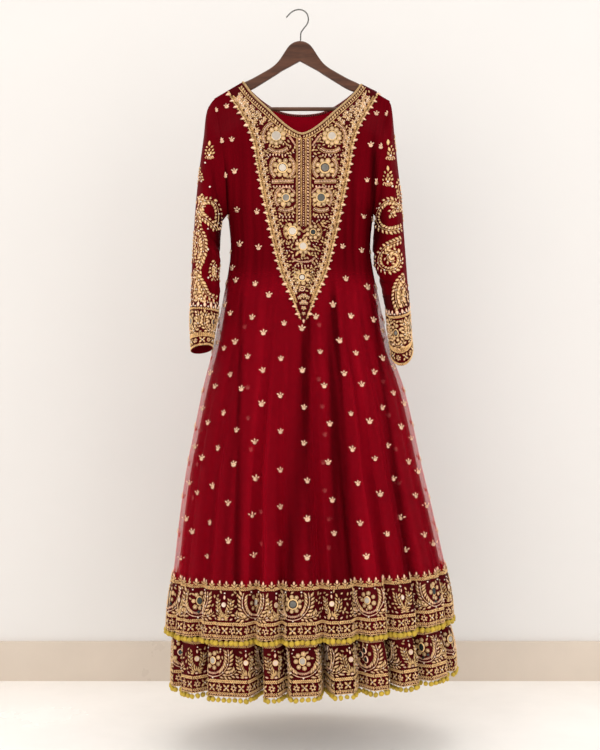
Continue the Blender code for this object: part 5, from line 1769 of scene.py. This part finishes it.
@gathered
def yoke_point():
    """The lower part, under the placket: leaves and drops round two flowers, and clusters to the point."""
    down = -math.pi / 2
    for side in (-1, 1):
        for angle in (200, 232, 264):
            turn = math.radians(angle if side < 0 else 540 - angle)
            x, y = -0.001 + 0.0215 * math.cos(turn), -0.552 + 0.0215 * math.sin(turn)
            yield leaf(x, y, turn, 0.013, 0.0062, 0.0022, tone=0.55)
        yield plait(curve((0.0, -0.588), (side * 0.016, -0.59), (side * 0.026, -0.578)), 0.0036, 0.0036, ROSE)
        yield garland(curve((side * 0.02, -0.6), (side * 0.021, -0.625), (side * 0.008, -0.648)), 0.007, 1)
        for z, half, size in ((-0.668, 0.0095, 0.85), (-0.681, 0.006, 0.72)):
            yield put(leaf_cluster(), side * half, z, down - side * 0.6, size)
    yield drops(-0.022, 0.021, -0.5975, 0.007)
    yield bead(RING, -0.003, -0.65, 0.012, 0.0022, finish=ROSE, tone=0.7)
    yield bead(KNOT, -0.003, -0.65, 0.005, 0.0026, tone=0.7)
    angles = math.radians(15) + np.arange(7) * (math.radians(150) / 6)
    yield put(petals(angles, 0.0155, 0.0105, 0.0052, 0.002, tone=0.6), -0.0035, -0.624)
    for z, size in ((-0.664, 0.95), (-0.678, 0.9), (-0.692, 0.8), (-0.705, 0.62)):
        yield put(leaf_cluster(), 0.0, z, down, size)
    yield leaf(0.0, -0.72, down, 0.015, 0.006, 0.002, finish=ROSE, tone=0.8)


def sewn_yoke():
    work = varied(yoke_work(), 7, 0.32, 0.11, 0.09)
    x, z = YOKE_MIDDLE_X + work[:, X], work[:, Y]
    lift = np.where(z < -0.716, 0.0, GROUND_LIFT)
    nodes = ("placket", *(f"mirror_{number:02d}" for number in range(1, 9)))
    return sew("yoke_embroidery", frames_on(outer_point, place_of(x, z), z), work, "embroidery", nodes, lift)


# ---- sprigs on the cloth
SPRIG_COLUMNS = 15
SPRIG_PITCH = 0.08
SPRIG_TOP_Z = -0.235
SPRIG_BOTTOM_Z = -1.262


def sprig_places(start, seed):
    """Half-drop rows of sprigs that fan out with the skirt; where it is narrow every other column rests."""
    chance = np.random.default_rng(seed)
    spots = []
    for column in range(SPRIG_COLUMNS):
        place = start + (column + 0.5) / SPRIG_COLUMNS
        drop = SPRIG_PITCH * (0.5 * (column % 2) + 0.12 * math.sin(column * 2.3))
        z = SPRIG_TOP_Z - drop
        while z > SPRIG_BOTTOM_Z:
            at = place + chance.normal(0, 0.0035)
            high = z + chance.normal(0, 0.0035)
            if z < -0.72 or column % 2 == 0 or (z < -0.6 and column % 4 == 1):
                spots.append((at, high))
            z -= SPRIG_PITCH
    return np.array(spots)


def is_clear(place, z, start):
    """Off the yoke, the necklines and the armholes' seams."""
    points = outer_point(place, z)
    x = points[:, 0] - YOKE_MIDDLE_X
    if start == 0:
        keep = np.abs(x) > smooth_read(YOKE_EDGE, z, 1) + 0.013
        keep |= z < YOKE_EDGE[-1][0] - 0.014
    else:
        keep = (z < BACK_NECK_Z - 0.03) | (np.abs(points[:, 0] - HANGER_X) > NECK_HALF * 1.02)
    return keep & (z < shoulder_z(points[:, 0]) - 0.016)


def repeated(motifs, spots):
    """Motifs in one table, and the spot of each one's middle beside every stitch."""
    return np.vstack(motifs), np.vstack([np.full((len(motif), 2), spot) for motif, spot in zip(motifs, spots)])


def sewn_sprigs(start):
    spots = sprig_places(start, 41 + start)
    spots = spots[is_clear(spots[:, 0], spots[:, 1], start)]
    chance = np.random.default_rng(51 + start)
    sprigs = []
    for _ in spots:
        size = 1.0 + chance.normal(0, 0.07)
        sprigs.append(put(buti(), 0, 0, chance.normal(0, 0.12), size))
    work, anchors = repeated(sprigs, spots)
    side_step = smooth_read(SECTIONS, anchors[:, 1], 1) * math.pi
    place = anchors[:, 0] + work[:, X] / side_step / np.maximum(0.35, np.abs(np.sin(math.pi * anchors[:, 0])))
    frames = frames_on(outer_point, place, anchors[:, 1] + work[:, Y])
    return sew(("sprigs_front", "sprigs_back")[start], frames, varied(work, 61 + start, 0.2), "embroidery")


INNER_SPRIG_LINES = (
    # x and z at the top, x and z at the foot, how many: sprigs of the fold behind the net
    (-0.128, -0.7, -0.084, -1.24, 8), (0.042, -0.7, 0.066, -1.245, 9), (-0.226, -0.93, -0.25, -1.15, 3),
    (0.19, -0.82, 0.238, -1.2, 5),
)


def inner_sprigs():
    """Sprigs on the folds behind the sheer net, seen through it, in rose thread darkened with painted shade."""
    sprig = put(buti(), size=0.8)
    sprig[:, FINISH] = SHADED_ROSE
    rows, spots = [], []
    for x0, z0, x1, z1, count in INNER_SPRIG_LINES:
        for share in (np.arange(count) + 0.5) / count:
            spots.append((x0 + (x1 - x0) * share + 0.004 * math.sin(share * 40), z0 + (z1 - z0) * share))
            rows.append(put(sprig, 0, 0, 0.3 * math.sin(share * 29)))
    work, spots = repeated(rows, spots)
    x, z = spots[:, 0] + work[:, X], spots[:, 1] + work[:, Y]
    frames = frames_on(outer_point, place_of(x, z), z)
    return sew("sprigs_behind_net", frames, varied(work, 67, 0.2), "embroidery", lift=-0.0045)


# ---- sleeves
SLEEVE_GARLANDS = {
    # lines of leaves, in millimetres across and up from a motif's middle
    "curl": (
        ((27, 22), (12, 31), (-10, 31), (-25, 15), (-29, -6), (-20, -26), (-2, -34), (16, -31), (29, -24)),
        ((26, 12), (14, 17), (2, 6), (8, -5)),
        ((28, 30), (30, 8)),
    ),
    "spiral": (
        ((28, 42), (10, 34), (-10, 24), (-23, 6), (-22, -14), (-6, -28), (14, -24), (24, -8), (19, 10), (4, 16)),
        ((4, 14), (-6, 2), (2, -9), (12, -6)),
    ),
    "arch": (
        ((-14, 34), (-12, 22), (-17, 4), (-20, -14), (-19, -32)),
        ((-14, 22), (2, 25), (14, 24), (22, 14), (25, -6), (22, -34)),
        ((-20, 8), (-12, -8), (0, -18), (12, -28), (22, -40)),
        ((-6, 36), (-14, 30), (-26, 30)),
        ((-12, 10), (-2, 12)),
    ),
    "paisley": (
        ((-14, 44), (-2, 36), (6, 18), (7, -8), (0, -30), (-6, -46)),
        ((-14, 40), (-18, 20), (-20, -8), (-16, -34)),
        ((-6, 22), (-8, 8), (-4, -8), (-8, -22)),
    ),
    "spray": (
        ((-18, 42), (-8, 36), (-12, 24), (-4, 12), (4, -4), (14, -20), (32, -26)),
        ((-22, 34), (-18, 16), (-22, -2), (-20, -20), (-22, -40)),
        ((-10, 6), (-12, -10), (-6, -24), (-10, -38)),
        ((2, -20), (-2, -34)), ((12, -30), (14, -40)), ((24, -32), (28, -40)),
    ),
    "side": (((0, 24), (-7, 10), (-7, -10), (0, -24)), ((1, 14), (1, -14))),
    "leaf": (((2, 24), (-3, 8), (2, -8), (4, -24)),),
    "half": (
        ((4, 46), (-8, 34), (-16, 14), (-16, -10), (-8, -32), (4, -46)),
        ((6, 30), (-5, 12), (-5, -8), (2, -24)),
        ((8, 12), (3, 0), (6, -14)),
    ),
}

SLEEVE_MOTIFS = {
    # what, x and z in the front view, size, turn
    "right": (
        ("sprig", -0.185, -0.229, 1.05), ("tiered", -0.2018, -0.3363, 1.15), ("leaf", -0.225, -0.386, 0.8, 0.1),
        ("arch", -0.2068, -0.476), ("paisley", -0.22, -0.556), ("side", -0.188, -0.609, 0.9),
        ("spray", -0.217, -0.645), ("dot", -0.2107, -0.3636), ("dot", -0.219, -0.4057), ("dot", -0.2, -0.4194),
        ("dot", -0.204, -0.5144), ("dot", -0.204, -0.561), ("dot", -0.203, -0.6251),
    ),
    "left": (
        ("sprig", 0.187, -0.2595, 1.05), ("tiered", 0.205, -0.336, 1.3, 0.15), ("tiered", 0.201, -0.3962, 1.25),
        ("leaf", 0.224, -0.31, 0.8, -0.1), ("leaf", 0.228, -0.4233, 1.0, -0.1), ("curl", 0.206, -0.4836),
        ("spiral", 0.205, -0.579), ("half", 0.235, -0.665), ("dot", 0.211, -0.418),
    ),
}

SILHOUETTE_SNAP = 0.0035
CUFF_WORK = 0.1045


def sleeve_motif(kind):
    if kind == "dot":
        return bead(KNOT, 0, 0, 0.005, 0.0026, finish=PEARL, tone=0.6)
    if kind in SLEEVE_GARLANDS:
        return np.vstack([garland(smooth_line(line, 6) / 1000, 0.011, 2, 0.008) for line in SLEEVE_GARLANDS[kind]])
    return {"sprig": buti, "tiered": tiered_sprig}[kind]()


def seen_spots(shape, x, z, is_back, step=1e-4):
    """The u and v that show at x, z of the front or back view, and which of them lie on the sleeve."""
    front = np.linspace(0.0, 0.5, 61) if shape.side < 0 else np.linspace(0.5, 1.0, 61)
    u, v = np.meshgrid(1 - front if is_back else front, np.linspace(0.02, 0.98, 321))
    u, v = u.ravel(), v.ravel()
    grid = shape.point(u, v)
    tree = KDTree(len(grid))
    for number, point in enumerate(grid):
        tree.insert((point[0], 0, point[2]), number)
    tree.balance()
    near = [tree.find((a, 0, b)) for a, b in zip(x, z)]
    spot, off = np.array([found[1] for found in near]), np.array([found[2] for found in near])
    u, v, gap = u[spot], v[spot], np.stack([x, z], axis=1) - grid[spot][:, [0, 2]]

    def rate(du, dv):
        return (shape.point(u + du, v + dv) - shape.point(u - du, v - dv))[:, [0, 2]] / (2 * step)

    def cross(a, b):
        return a[:, 0] * b[:, 1] - a[:, 1] * b[:, 0]

    by_u, by_v = rate(step, 0), rate(0, step)
    size = cross(by_u, by_v)
    size = np.where(np.abs(size) < 0.02, np.inf, size)
    u = u + np.clip(cross(gap, by_v) / size, -0.008, 0.008)
    v = v + np.clip(cross(by_u, gap) / size, -0.003, 0.003)
    return u, v, off < SILHOUETTE_SNAP


def seen_frames(shape, u, v, is_back):
    """Frames on a sleeve whose ways run across and up the view from the front or back."""
    points, _, _, out = frames_on(shape.point, u, v, up=-1.0)
    way = -1.0 if is_back else 1.0
    across = unit(np.array([way, 0, 0]) - out * out[:, :1] * way + np.array([1e-5, 0, 0]))
    return points, across, np.cross(out, across), out


@gathered
def cuff_lines(girth):
    for y in (0.0024, 0.025, 0.0295, 0.09):
        yield plait(level(0, girth, y), 0.0046, 0.0038, tone=0.75)
    yield flower_row(girth, 0.0155, 0.014, (0.95, 0.95))
    count = max(3, round(girth / 0.046))
    for k in range(count):
        at = (k + 0.5) * girth / count
        yield put(round_flower(0.0046, 7, 0.0092, 0.12, 1.35), at, 0.06)
        for side in (-1, 1):
            bends = ((0, 0.034), (side * 0.02, 0.036), (side * 0.024, 0.062), (side * 0.016, 0.084))
            yield garland(curve(*((at + x, y) for x, y in bends)), 0.0096)
    count = round(girth / 0.012)
    for k in range(count):
        at = (k + 0.5) * girth / count
        yield leaf(at, 0.099, math.pi / 2, 0.012, 0.0074, 0.0022, finish=ROSE, tone=0.9)
        yield bead(KNOT, at + girth / count / 2, 0.0955, 0.004, 0.002, finish=PEARL, tone=0.8)


def cuff_work(girth, seed):
    """The cuff: lines, a band of small flowers, and a deep band of leaves and mirrors; heights from its edge."""

    def inside(x, y):
        return (x > 0.002) & (x < girth - 0.002) & (y > 0.033) & (y < 0.087)

    return filled(cuff_lines(girth), inside, 0.0066, 0.002, seed, girth, 0.03, 0.09)


def sewn_sleeve(arm):
    shape = SLEEVES[arm]
    girth = float(travel_of(closed(shape.rings[-1]))[-1])
    cuff = cuff_work(girth, 71)
    u, v = cuff[:, X] / girth, 1 - cuff[:, Y] / shape.length
    keep = v < 0.9995
    work, lift = [cuff[keep]], [np.full(keep.sum(), GROUND_LIFT)]
    frames = [frames_on(shape.point, u[keep], v[keep], up=-1.0)]
    motifs, middles = [], []
    for kind, x, z, *more in SLEEVE_MOTIFS[arm]:
        size, turn = (*more, *(1.0, 0.0)[len(more):])
        motifs.append(put(sleeve_motif(kind), 0, 0, turn, size))
        middles.append((x, z))
    motifs, middles = repeated(motifs, middles)
    for is_back in (False, True):
        x = middles[:, 0] + motifs[:, X] * (-1 if is_back else 1)
        u, v, on_it = seen_spots(shape, x, middles[:, 1] + motifs[:, Y], is_back)
        keep = on_it & (v > 0.03) & ((1 - v) * shape.length > CUFF_WORK)
        work.append(motifs[keep])
        frames.append(seen_frames(shape, u[keep], v[keep], is_back))
        lift.append(np.where(v[keep] > shape.stations[CUFF_FIRST_RING] - 0.002, GROUND_LIFT, 0.0))
    frames = [np.vstack(parts) for parts in zip(*frames)]
    work = varied(np.vstack(work), 81, 0.32, 0.12, 0.1)
    work[:, TONE] += 0.2
    return sew(f"sleeve_embroidery_{arm}", frames, work, "embroidery", lift=np.concatenate(lift))


# ---- hanger
def smooth_line(points, steps):
    """A smooth line through points of the front view, with that many stretches between two of them."""
    points = np.asarray(points, float)
    line = []
    for k in range(len(points) - 1):
        p0, p1 = points[max(0, k - 1)], points[k]
        p2, p3 = points[k + 1], points[min(len(points) - 1, k + 2)]
        for step in range(steps):
            t = step / steps
            a, b = (p2 - p0) * 0.5, p0 - p1 * 2.5 + p2 * 2 - p3 * 0.5
            line.append(p1 + a * t + b * t * t + ((p1 - p2) * 1.5 + (p3 - p0) * 0.5) * t**3)
    return np.array([*line, points[-1]])


def arm_section(top, bottom, size=1.0):
    """A section across the hanger's arm: flat sides, a crowned top and eased edges below."""
    half, ease = HANGER_HALF_DEPTH * size, 0.0022 * size
    crown = np.radians(np.linspace(0, 180, 11))
    drop = HANGER_SHOULDER_DROP * size
    upper = [(half * math.cos(a), top - drop + drop * math.sin(a)) for a in crown]
    lower = []
    for centre, first in ((-half + ease, 180), (half - ease, 270)):
        for a in np.radians(np.linspace(first, first + 90, 5)):
            lower.append((centre + ease * math.cos(a), bottom + ease + ease * math.sin(a)))
    return upper + lower


def hanger_arms():
    edges = np.array(HANGER_EDGES)
    line = smooth_line(edges[:12], 5)
    tip_x = [0.18, 0.1804, 0.194, 0.1965, 0.1978]
    x = np.concatenate([line[:, 0], tip_x])
    top = np.concatenate([line[:, 1], np.interp(tip_x, edges[:, 0], edges[:, 1])])
    bottom = np.concatenate([line[:-1, 2], [-0.2187, -0.2187, -0.2365, -0.237, -0.2362, -0.2345]])
    size = np.concatenate([np.ones(len(line) + 3), [0.93, 0.72]])
    half = list(zip(x, top, bottom, size))
    stations = [(-a, t, b, s) for a, t, b, s in reversed(half[1:])] + half
    rings = np.array([[(HANGER_X + a, y, z) for y, z in arm_section(t, b, s)] for a, t, b, s in stations])
    numbers = np.arange(rings.shape[0] * rings.shape[1]).reshape(rings.shape[:2])
    faces = quads(np.hstack([numbers, numbers[:, :1]])).tolist()
    faces += [numbers[0].tolist(), numbers[-1, ::-1].tolist()]
    wood = [workshop()["wood"]]
    piece = new_piece("hanger_shoulders_wood", rings.reshape(-1, 3), faces, wood, sharp_from=35)
    return hand_over(piece, "wood", "hanger_shoulders")


def hanger_rod():
    half = 0.1793
    route = [(HANGER_X + x, 0.0, BAR_Z) for x in np.linspace(-half, half, 30)]
    rod = swept_tube("hanger_bar_wood", route, BAR_RADIUS, 20, workshop()["bar"])
    return hand_over(rod, "bar", "hanger_bar")


def hanger_wire():
    line = smooth_line(HOOK_ROUTE, 8)
    route = np.stack([line[:, 0], np.zeros(len(line)), line[:, 1]], axis=1)
    wire = swept_tube("hanger_hook_wire", route, HOOK_WIRE_RADIUS, 14, workshop()["steel"])
    return hand_over(wire, "steel", "hanger_hook")


# ---- stage
def stage_piece(name, corners, faces, colour, roughness, patch_scale, contrast):
    """A plain part of the studio, faintly mottled, and open to the view from its back."""
    mesh = bpy.data.meshes.new(name)
    mesh.from_pydata(corners, [], faces)
    material, board, shader = new_finish(name)
    cloudy = board.noise(board.place(), patch_scale, 5.0, 0.6)
    low, high = shade(colour, 1 - contrast), shade(colour, 1 + contrast)
    paint(board, shader, board.mix(board.ramp(cloudy, 0.3, 0.7), low, high), cloudy, roughness, 0.05)
    clear = board.node("ShaderNodeBsdfTransparent").outputs[0]
    is_back = board.node("ShaderNodeNewGeometry").outputs["Backfacing"]
    one_way = board.node("ShaderNodeMixShader", {0: is_back, 1: shader.outputs[0], 2: clear})
    board.put(material.node_tree.nodes["Material Output"].inputs["Surface"], one_way.outputs[0])
    mesh.materials.append(material)
    link_up(name, mesh)


def soft_light(name, place, aim, size, power, colour):
    lamp = bpy.data.lights.new(name, "AREA")
    lamp.shape = "RECTANGLE"
    lamp.size, lamp.size_y = size
    lamp.energy, lamp.color = power, colour
    light = link_up(name, lamp)
    light.location = place
    light.rotation_euler = (Vector(aim) - Vector(place)).to_track_quat("-Z", "Y").to_euler()


def studio(half=4.0, height=5.0):
    stage, scene = bpy.context.scene.gown_stage, bpy.context.scene
    scene.view_settings.view_transform = "Standard"
    floor_z, wall_y = stage.floor_z, stage.wall_y
    top, one = floor_z + height, [(0, 1, 2, 3)]
    floor = [(x, y, floor_z) for x, y in ((-half, -half), (half, -half), (half, half), (-half, half))]
    stage_piece("floor", floor, one, stage.floor_colour, 0.24, 2.2, 0.05)
    wall = [(x, wall_y, z) for x, z in ((-half, floor_z), (half, floor_z), (half, top), (-half, top))]
    stage_piece("wall", wall, one, stage.wall_colour, 0.85, 1.2, 0.015)
    edge_y, edge_z = wall_y - 0.012, floor_z + stage.skirting
    ledge = [(x, y, z) for y, z in ((edge_y, floor_z), (edge_y, edge_z), (wall_y, edge_z)) for x in (-half, half)]
    stage_piece("skirting", ledge, [(0, 1, 3, 2), (2, 3, 5, 4)], stage.skirting_colour, 0.3, 3.0, 0.06)
    soft_light("key", (-1.3, -2.4, -0.4), (0, 0, -1.0), (2.0, 2.0), stage.key_power, (1.0, 0.96, 0.92))
    soft_light("fill", (1.9, -2.2, -0.7), (0, 0, -1.1), (2.0, 2.2), stage.fill_power, (0.96, 0.97, 1.0))
    soft_light("top", (0.0, -0.1, 3.0), (0, -0.05, -1.6), (3.6, 1.4), stage.top_power, (1.0, 1.0, 1.0))
    scene.world = bpy.data.worlds.new("studio")
    scene.world.use_nodes = True
    background = scene.world.node_tree.nodes["Background"].inputs
    background["Color"].default_value = (*stage.world_colour, 1.0)
    background["Strength"].default_value = stage.world_power
    lens = bpy.data.cameras.new("camera")
    lens.lens, lens.sensor_fit = stage.lens * 1000, "VERTICAL"
    lens.sensor_height = lens.sensor_width = 36.0
    scene.camera = link_up("camera", lens)
    scene.camera.location = (HANGER_X, -2.6, -0.843)
    scene.camera.rotation_euler = (math.pi / 2, 0, 0)


# ---- sizes and colours
def length(name, description, default, **limits):
    return FloatProperty(name=name, description=description, default=default, unit="LENGTH", precision=4, **limits)


def colour(name, description, default):
    return FloatVectorProperty(name=name, description=description, default=default, subtype="COLOR", min=0, max=1)


class GownCloth(bpy.types.PropertyGroup):
    wall: length("Cloth thickness", "Thickness of each layer of cloth with its lining", 0.0008)
    thread: length("Thread pitch", "Distance between two threads of the weave", 0.0006)
    net_cover: FloatProperty(
        name="Net cover", description="Share that each face of the net covers", default=0.22, subtype="FACTOR"
    )
    net_colour: colour("Net", "Colour of the outer layer", (0.43, 0.0035, 0.015))
    satin_colour: colour("Satin", "Colour of the under layer", (0.128, 0.0008, 0.0045))
    lining_colour: colour("Lining", "Colour of the bodice's and sleeves' lining", (0.136, 0.0008, 0.0045))
    ground_colour: colour("Ground", "Colour of the cloth under the embroidery", (0.075, 0.003, 0.005))


class GownStitching(bpy.types.PropertyGroup):
    size: FloatProperty(name="Size", description="Size of every stitch and bead, as a share", default=1.0)
    thickness: FloatProperty(name="Thickness", description="Height of the stitches, as a share", default=1.0)
    gold_colour: colour("Gold thread", "Antique gold thread", (0.59, 0.382, 0.168))
    rose_colour: colour("Rose thread", "Pale pinkish gold thread", (0.73, 0.472, 0.312))
    # Rose thread darkened with painted shade.
    dimmed_colour: colour("Dimmed thread", "Rose thread in the folds behind the net", (0.34, 0.08, 0.065))


class GownTrims(bpy.types.PropertyGroup):
    pompom_colour: colour("Pompoms", "Yarn of the pompoms", (0.51, 0.345, 0.03))
    piping_radius: length("Neck cord", "Radius of the cord round the neck", 0.0026)
    outer_pitch: length("Outer pompom pitch", "From one pompom of the outer layer to the next", 0.0124)
    outer_size: length("Outer pompom", "Width of a pompom of the outer layer", 0.0124)
    under_pitch: length("Under pompom pitch", "From one pompom of the under layer to the next", 0.013)
    under_size: length("Under pompom", "Width of a pompom of the under layer", 0.011)


class GownHanger(bpy.types.PropertyGroup):
    wood_colour: colour("Arms", "Lacquered wood of the arms", (0.075, 0.027, 0.013))
    bar_colour: colour("Bar", "Lacquered wood of the bar", (0.105, 0.045, 0.024))


class GownStage(bpy.types.PropertyGroup):
    floor_z: length("Floor", "Height of the floor", -1.686)
    wall_y: length("Wall", "Distance of the wall behind the hook", 0.51)
    skirting: length("Skirting", "Height of the strip along the foot of the wall", 0.108)
    skirting_colour: colour("Skirting", "Colour of the strip along the foot of the wall", (0.62, 0.53, 0.44))
    lens: length("Lens", "Focal length of the camera", 0.054)
    wall_colour: colour("Wall", "Colour of the wall", (0.748, 0.725, 0.699))
    floor_colour: colour("Floor", "Colour of the floor", (0.95, 0.92, 0.88))
    world_colour: colour("Surroundings", "Colour of the light from all round", (1.0, 0.98, 0.96))
    world_power: FloatProperty(name="Surroundings", description="Strength of the light from all round", default=0.99)
    key_power: FloatProperty(name="Key light", description="Strength of the main light", default=20, unit="POWER")
    fill_power: FloatProperty(name="Fill light", description="Strength of the second light", default=19, unit="POWER")
    top_power: FloatProperty(name="Top light", description="Strength of the light from above", default=50, unit="POWER")


# ---- operators
class GOWN_OT_stage(bpy.types.Operator):
    """Make the studio: camera, lights, floor and wall"""

    bl_idname = "gown.stage"
    bl_label = "Studio"

    def execute(self, context):
        studio()
        return {"FINISHED"}


class GOWN_OT_outer_layer(bpy.types.Operator):
    """Make the crimson net panels and their hem grounds"""

    bl_idname = "gown.outer_layer"
    bl_label = "Outer layer"

    def execute(self, context):
        for name, start in (("front", 0), ("back", 1)):
            outer_panel(f"outer_{name}", start)
            band(f"hem_border_{name}", outer_point, start, BORDER_TOP_Z, HEM_Z)
        return {"FINISHED"}


class GOWN_OT_under_layer(bpy.types.Operator):
    """Make the satin panels under the net and their hem grounds"""

    bl_idname = "gown.under_layer"
    bl_label = "Under layer"

    def execute(self, context):
        for name, start in (("front", 0), ("back", 1)):
            under_panel(f"under_{name}", start)
            band(f"under_border_{name}", under_point, start, UNDER_BORDER_TOP_Z, UNDER_HEM_Z)
        return {"FINISHED"}


class GOWN_OT_sleeves(bpy.types.Operator):
    """Make both long sleeves and the grounds of their cuffs"""

    bl_idname = "gown.sleeves"
    bl_label = "Sleeves"

    def execute(self, context):
        for arm in SLEEVES:
            sleeve_cloth(arm)
        return {"FINISHED"}


class GOWN_OT_yoke(bpy.types.Operator):
    """Make the yoke's ground and the plaited cord round the neck"""

    bl_idname = "gown.yoke"
    bl_label = "Yoke and neck"

    def execute(self, context):
        yoke_ground()
        neck_cord()
        return {"FINISHED"}


class GOWN_OT_pompoms(bpy.types.Operator):
    """Hang the pompoms on both hems"""

    bl_idname = "gown.pompoms"
    bl_label = "Pompoms"

    def execute(self, context):
        trims = context.scene.gown_trims
        for name, start in (("front", 0), ("back", 1)):
            outer = (outer_point, start, HEM_Z, trims.outer_pitch, POMPOM_DROP, trims.outer_size)
            under = (under_point, start, UNDER_HEM_Z, trims.under_pitch, POMPOM_DROP, trims.under_size)
            pompom_row(f"hem_pompoms_{name}", *outer, 21 + start)
            pompom_row(f"under_pompoms_{name}", *under, 31 + start)
        return {"FINISHED"}


class GOWN_OT_hanger(bpy.types.Operator):
    """Make the wooden hanger with its bar and wire hook"""

    bl_idname = "gown.hanger"
    bl_label = "Hanger"

    def execute(self, context):
        hanger_arms()
        hanger_rod()
        hanger_wire()
        return {"FINISHED"}


class GOWN_OT_yoke_embroidery(bpy.types.Operator):
    """Sew the yoke: mirrors, flowers, crescents, drops and the pointed edging"""

    bl_idname = "gown.yoke_embroidery"
    bl_label = "Yoke embroidery"

    def execute(self, context):
        sewn_yoke()
        return {"FINISHED"}


class GOWN_OT_border_embroidery(bpy.types.Operator):
    """Sew the borders of both hems"""

    bl_idname = "gown.border_embroidery"
    bl_label = "Border embroidery"

    def execute(self, context):
        for start, name in enumerate(("front", "back")):
            sewn_border(f"hem_embroidery_{name}", outer_point, start, HEM_Z, HEM_FLOWERS_X, HEM_KINDS, 101 + start)
            sewn_border(
                f"under_embroidery_{name}", under_point, start, UNDER_HEM_Z, UNDER_FLOWERS_X, UNDER_KINDS, 111 + start
            )
        return {"FINISHED"}


class GOWN_OT_sprigs(bpy.types.Operator):
    """Sew the sprigs that are scattered over the bodice and the skirt"""

    bl_idname = "gown.sprigs"
    bl_label = "Sprigs"

    def execute(self, context):
        sewn_sprigs(0)
        sewn_sprigs(1)
        inner_sprigs()
        return {"FINISHED"}


class GOWN_OT_sleeve_embroidery(bpy.types.Operator):
    """Sew the garlands, paisleys and cuffs of both sleeves"""

    bl_idname = "gown.sleeve_embroidery"
    bl_label = "Sleeve embroidery"

    def execute(self, context):
        for arm in SLEEVES:
            sewn_sleeve(arm)
        return {"FINISHED"}


CUTS = (
    # piece, width and length of the flat cut, share of that rectangle, pieces that lie on it
    ("outer_front_net", 1.02, 1.26, 0.565, ("sprigs_front", "hem_embroidery_front", "hem_pompoms_front_yarn")),
    ("outer_back_net", 1.02, 1.26, 0.555, ("sprigs_back", "hem_embroidery_back", "hem_pompoms_back_yarn")),
    ("under_front_satin", 1.36, 1.02, 0.61, ("under_embroidery_front", "under_pompoms_front_yarn")),
    ("under_back_satin", 1.16, 1.02, 0.61, ("under_embroidery_back", "under_pompoms_back_yarn")),
    ("sleeve_right_net", 0.3, 0.56, 0.78, ("sleeve_embroidery_right",)),
    ("sleeve_left_net", 0.3, 0.56, 0.74, ("sleeve_embroidery_left",)),
    ("hem_border_front_ground", 1.02, 0.114, 0.98, ()),
    ("hem_border_back_ground", 1.0, 0.114, 0.98, ()),
    ("under_border_front_ground", 1.42, 0.132, 0.98, ()),
    ("under_border_back_ground", 1.16, 0.132, 0.98, ()),
    ("cuff_border_right_ground", 0.26, 0.1, 0.92, ()),
    ("cuff_border_left_ground", 0.31, 0.1, 0.96, ()),
    ("yoke_ground", 0.33, 0.58, 0.39, ("yoke_embroidery",)),
)


class GOWN_OT_cuts(bpy.types.Operator):
    """Look up, for each piece of cloth in the table of cuts, the pieces that lie on it"""

    bl_idname = "gown.cuts"
    bl_label = "Cuts of the cloth"

    def execute(self, context):
        for name, width, long, share, others in CUTS:
            [bpy.data.objects[other] for other in others]
        return {"FINISHED"}


OPERATORS = (
    GOWN_OT_stage,
    GOWN_OT_outer_layer,
    GOWN_OT_under_layer,
    GOWN_OT_sleeves,
    GOWN_OT_yoke,
    GOWN_OT_yoke_embroidery,
    GOWN_OT_border_embroidery,
    GOWN_OT_sprigs,
    GOWN_OT_sleeve_embroidery,
    GOWN_OT_pompoms,
    GOWN_OT_hanger,
    GOWN_OT_cuts,
)

SETTINGS = {
    "gown_stage": GownStage,
    "gown_cloth": GownCloth,
    "gown_stitching": GownStitching,
    "gown_trims": GownTrims,
    "gown_hanger": GownHanger,
}


class GOWN_PT_panel(bpy.types.Panel):
    """The gown's sizes and colours, and its pieces in the order they are made"""

    bl_label = "Anarkali Gown"
    bl_idname = "GOWN_PT_panel"
    bl_space_type = "VIEW_3D"
    bl_region_type = "UI"
    bl_category = "Gown"

    def draw(self, context):
        for attribute, group in SETTINGS.items():
            box = self.layout.box()
            for name in group.__annotations__:
                box.prop(getattr(context.scene, attribute), name)
        for operator in OPERATORS:
            self.layout.operator(operator.bl_idname)


def register():
    for group in SETTINGS.values():
        bpy.utils.register_class(group)
    for attribute, group in SETTINGS.items():
        setattr(bpy.types.Scene, attribute, PointerProperty(type=group))
    for operator in (*OPERATORS, GOWN_PT_panel):
        bpy.utils.register_class(operator)


def unregister():
    for operator in reversed((*OPERATORS, GOWN_PT_panel)):
        bpy.utils.unregister_class(operator)
    for attribute, group in SETTINGS.items():
        delattr(bpy.types.Scene, attribute)
        bpy.utils.unregister_class(group)


def main():
    register()
    for operator in OPERATORS:
        getattr(bpy.ops.gown, operator.bl_idname.split(".")[1])()


if __name__ == "__main__":
    main()
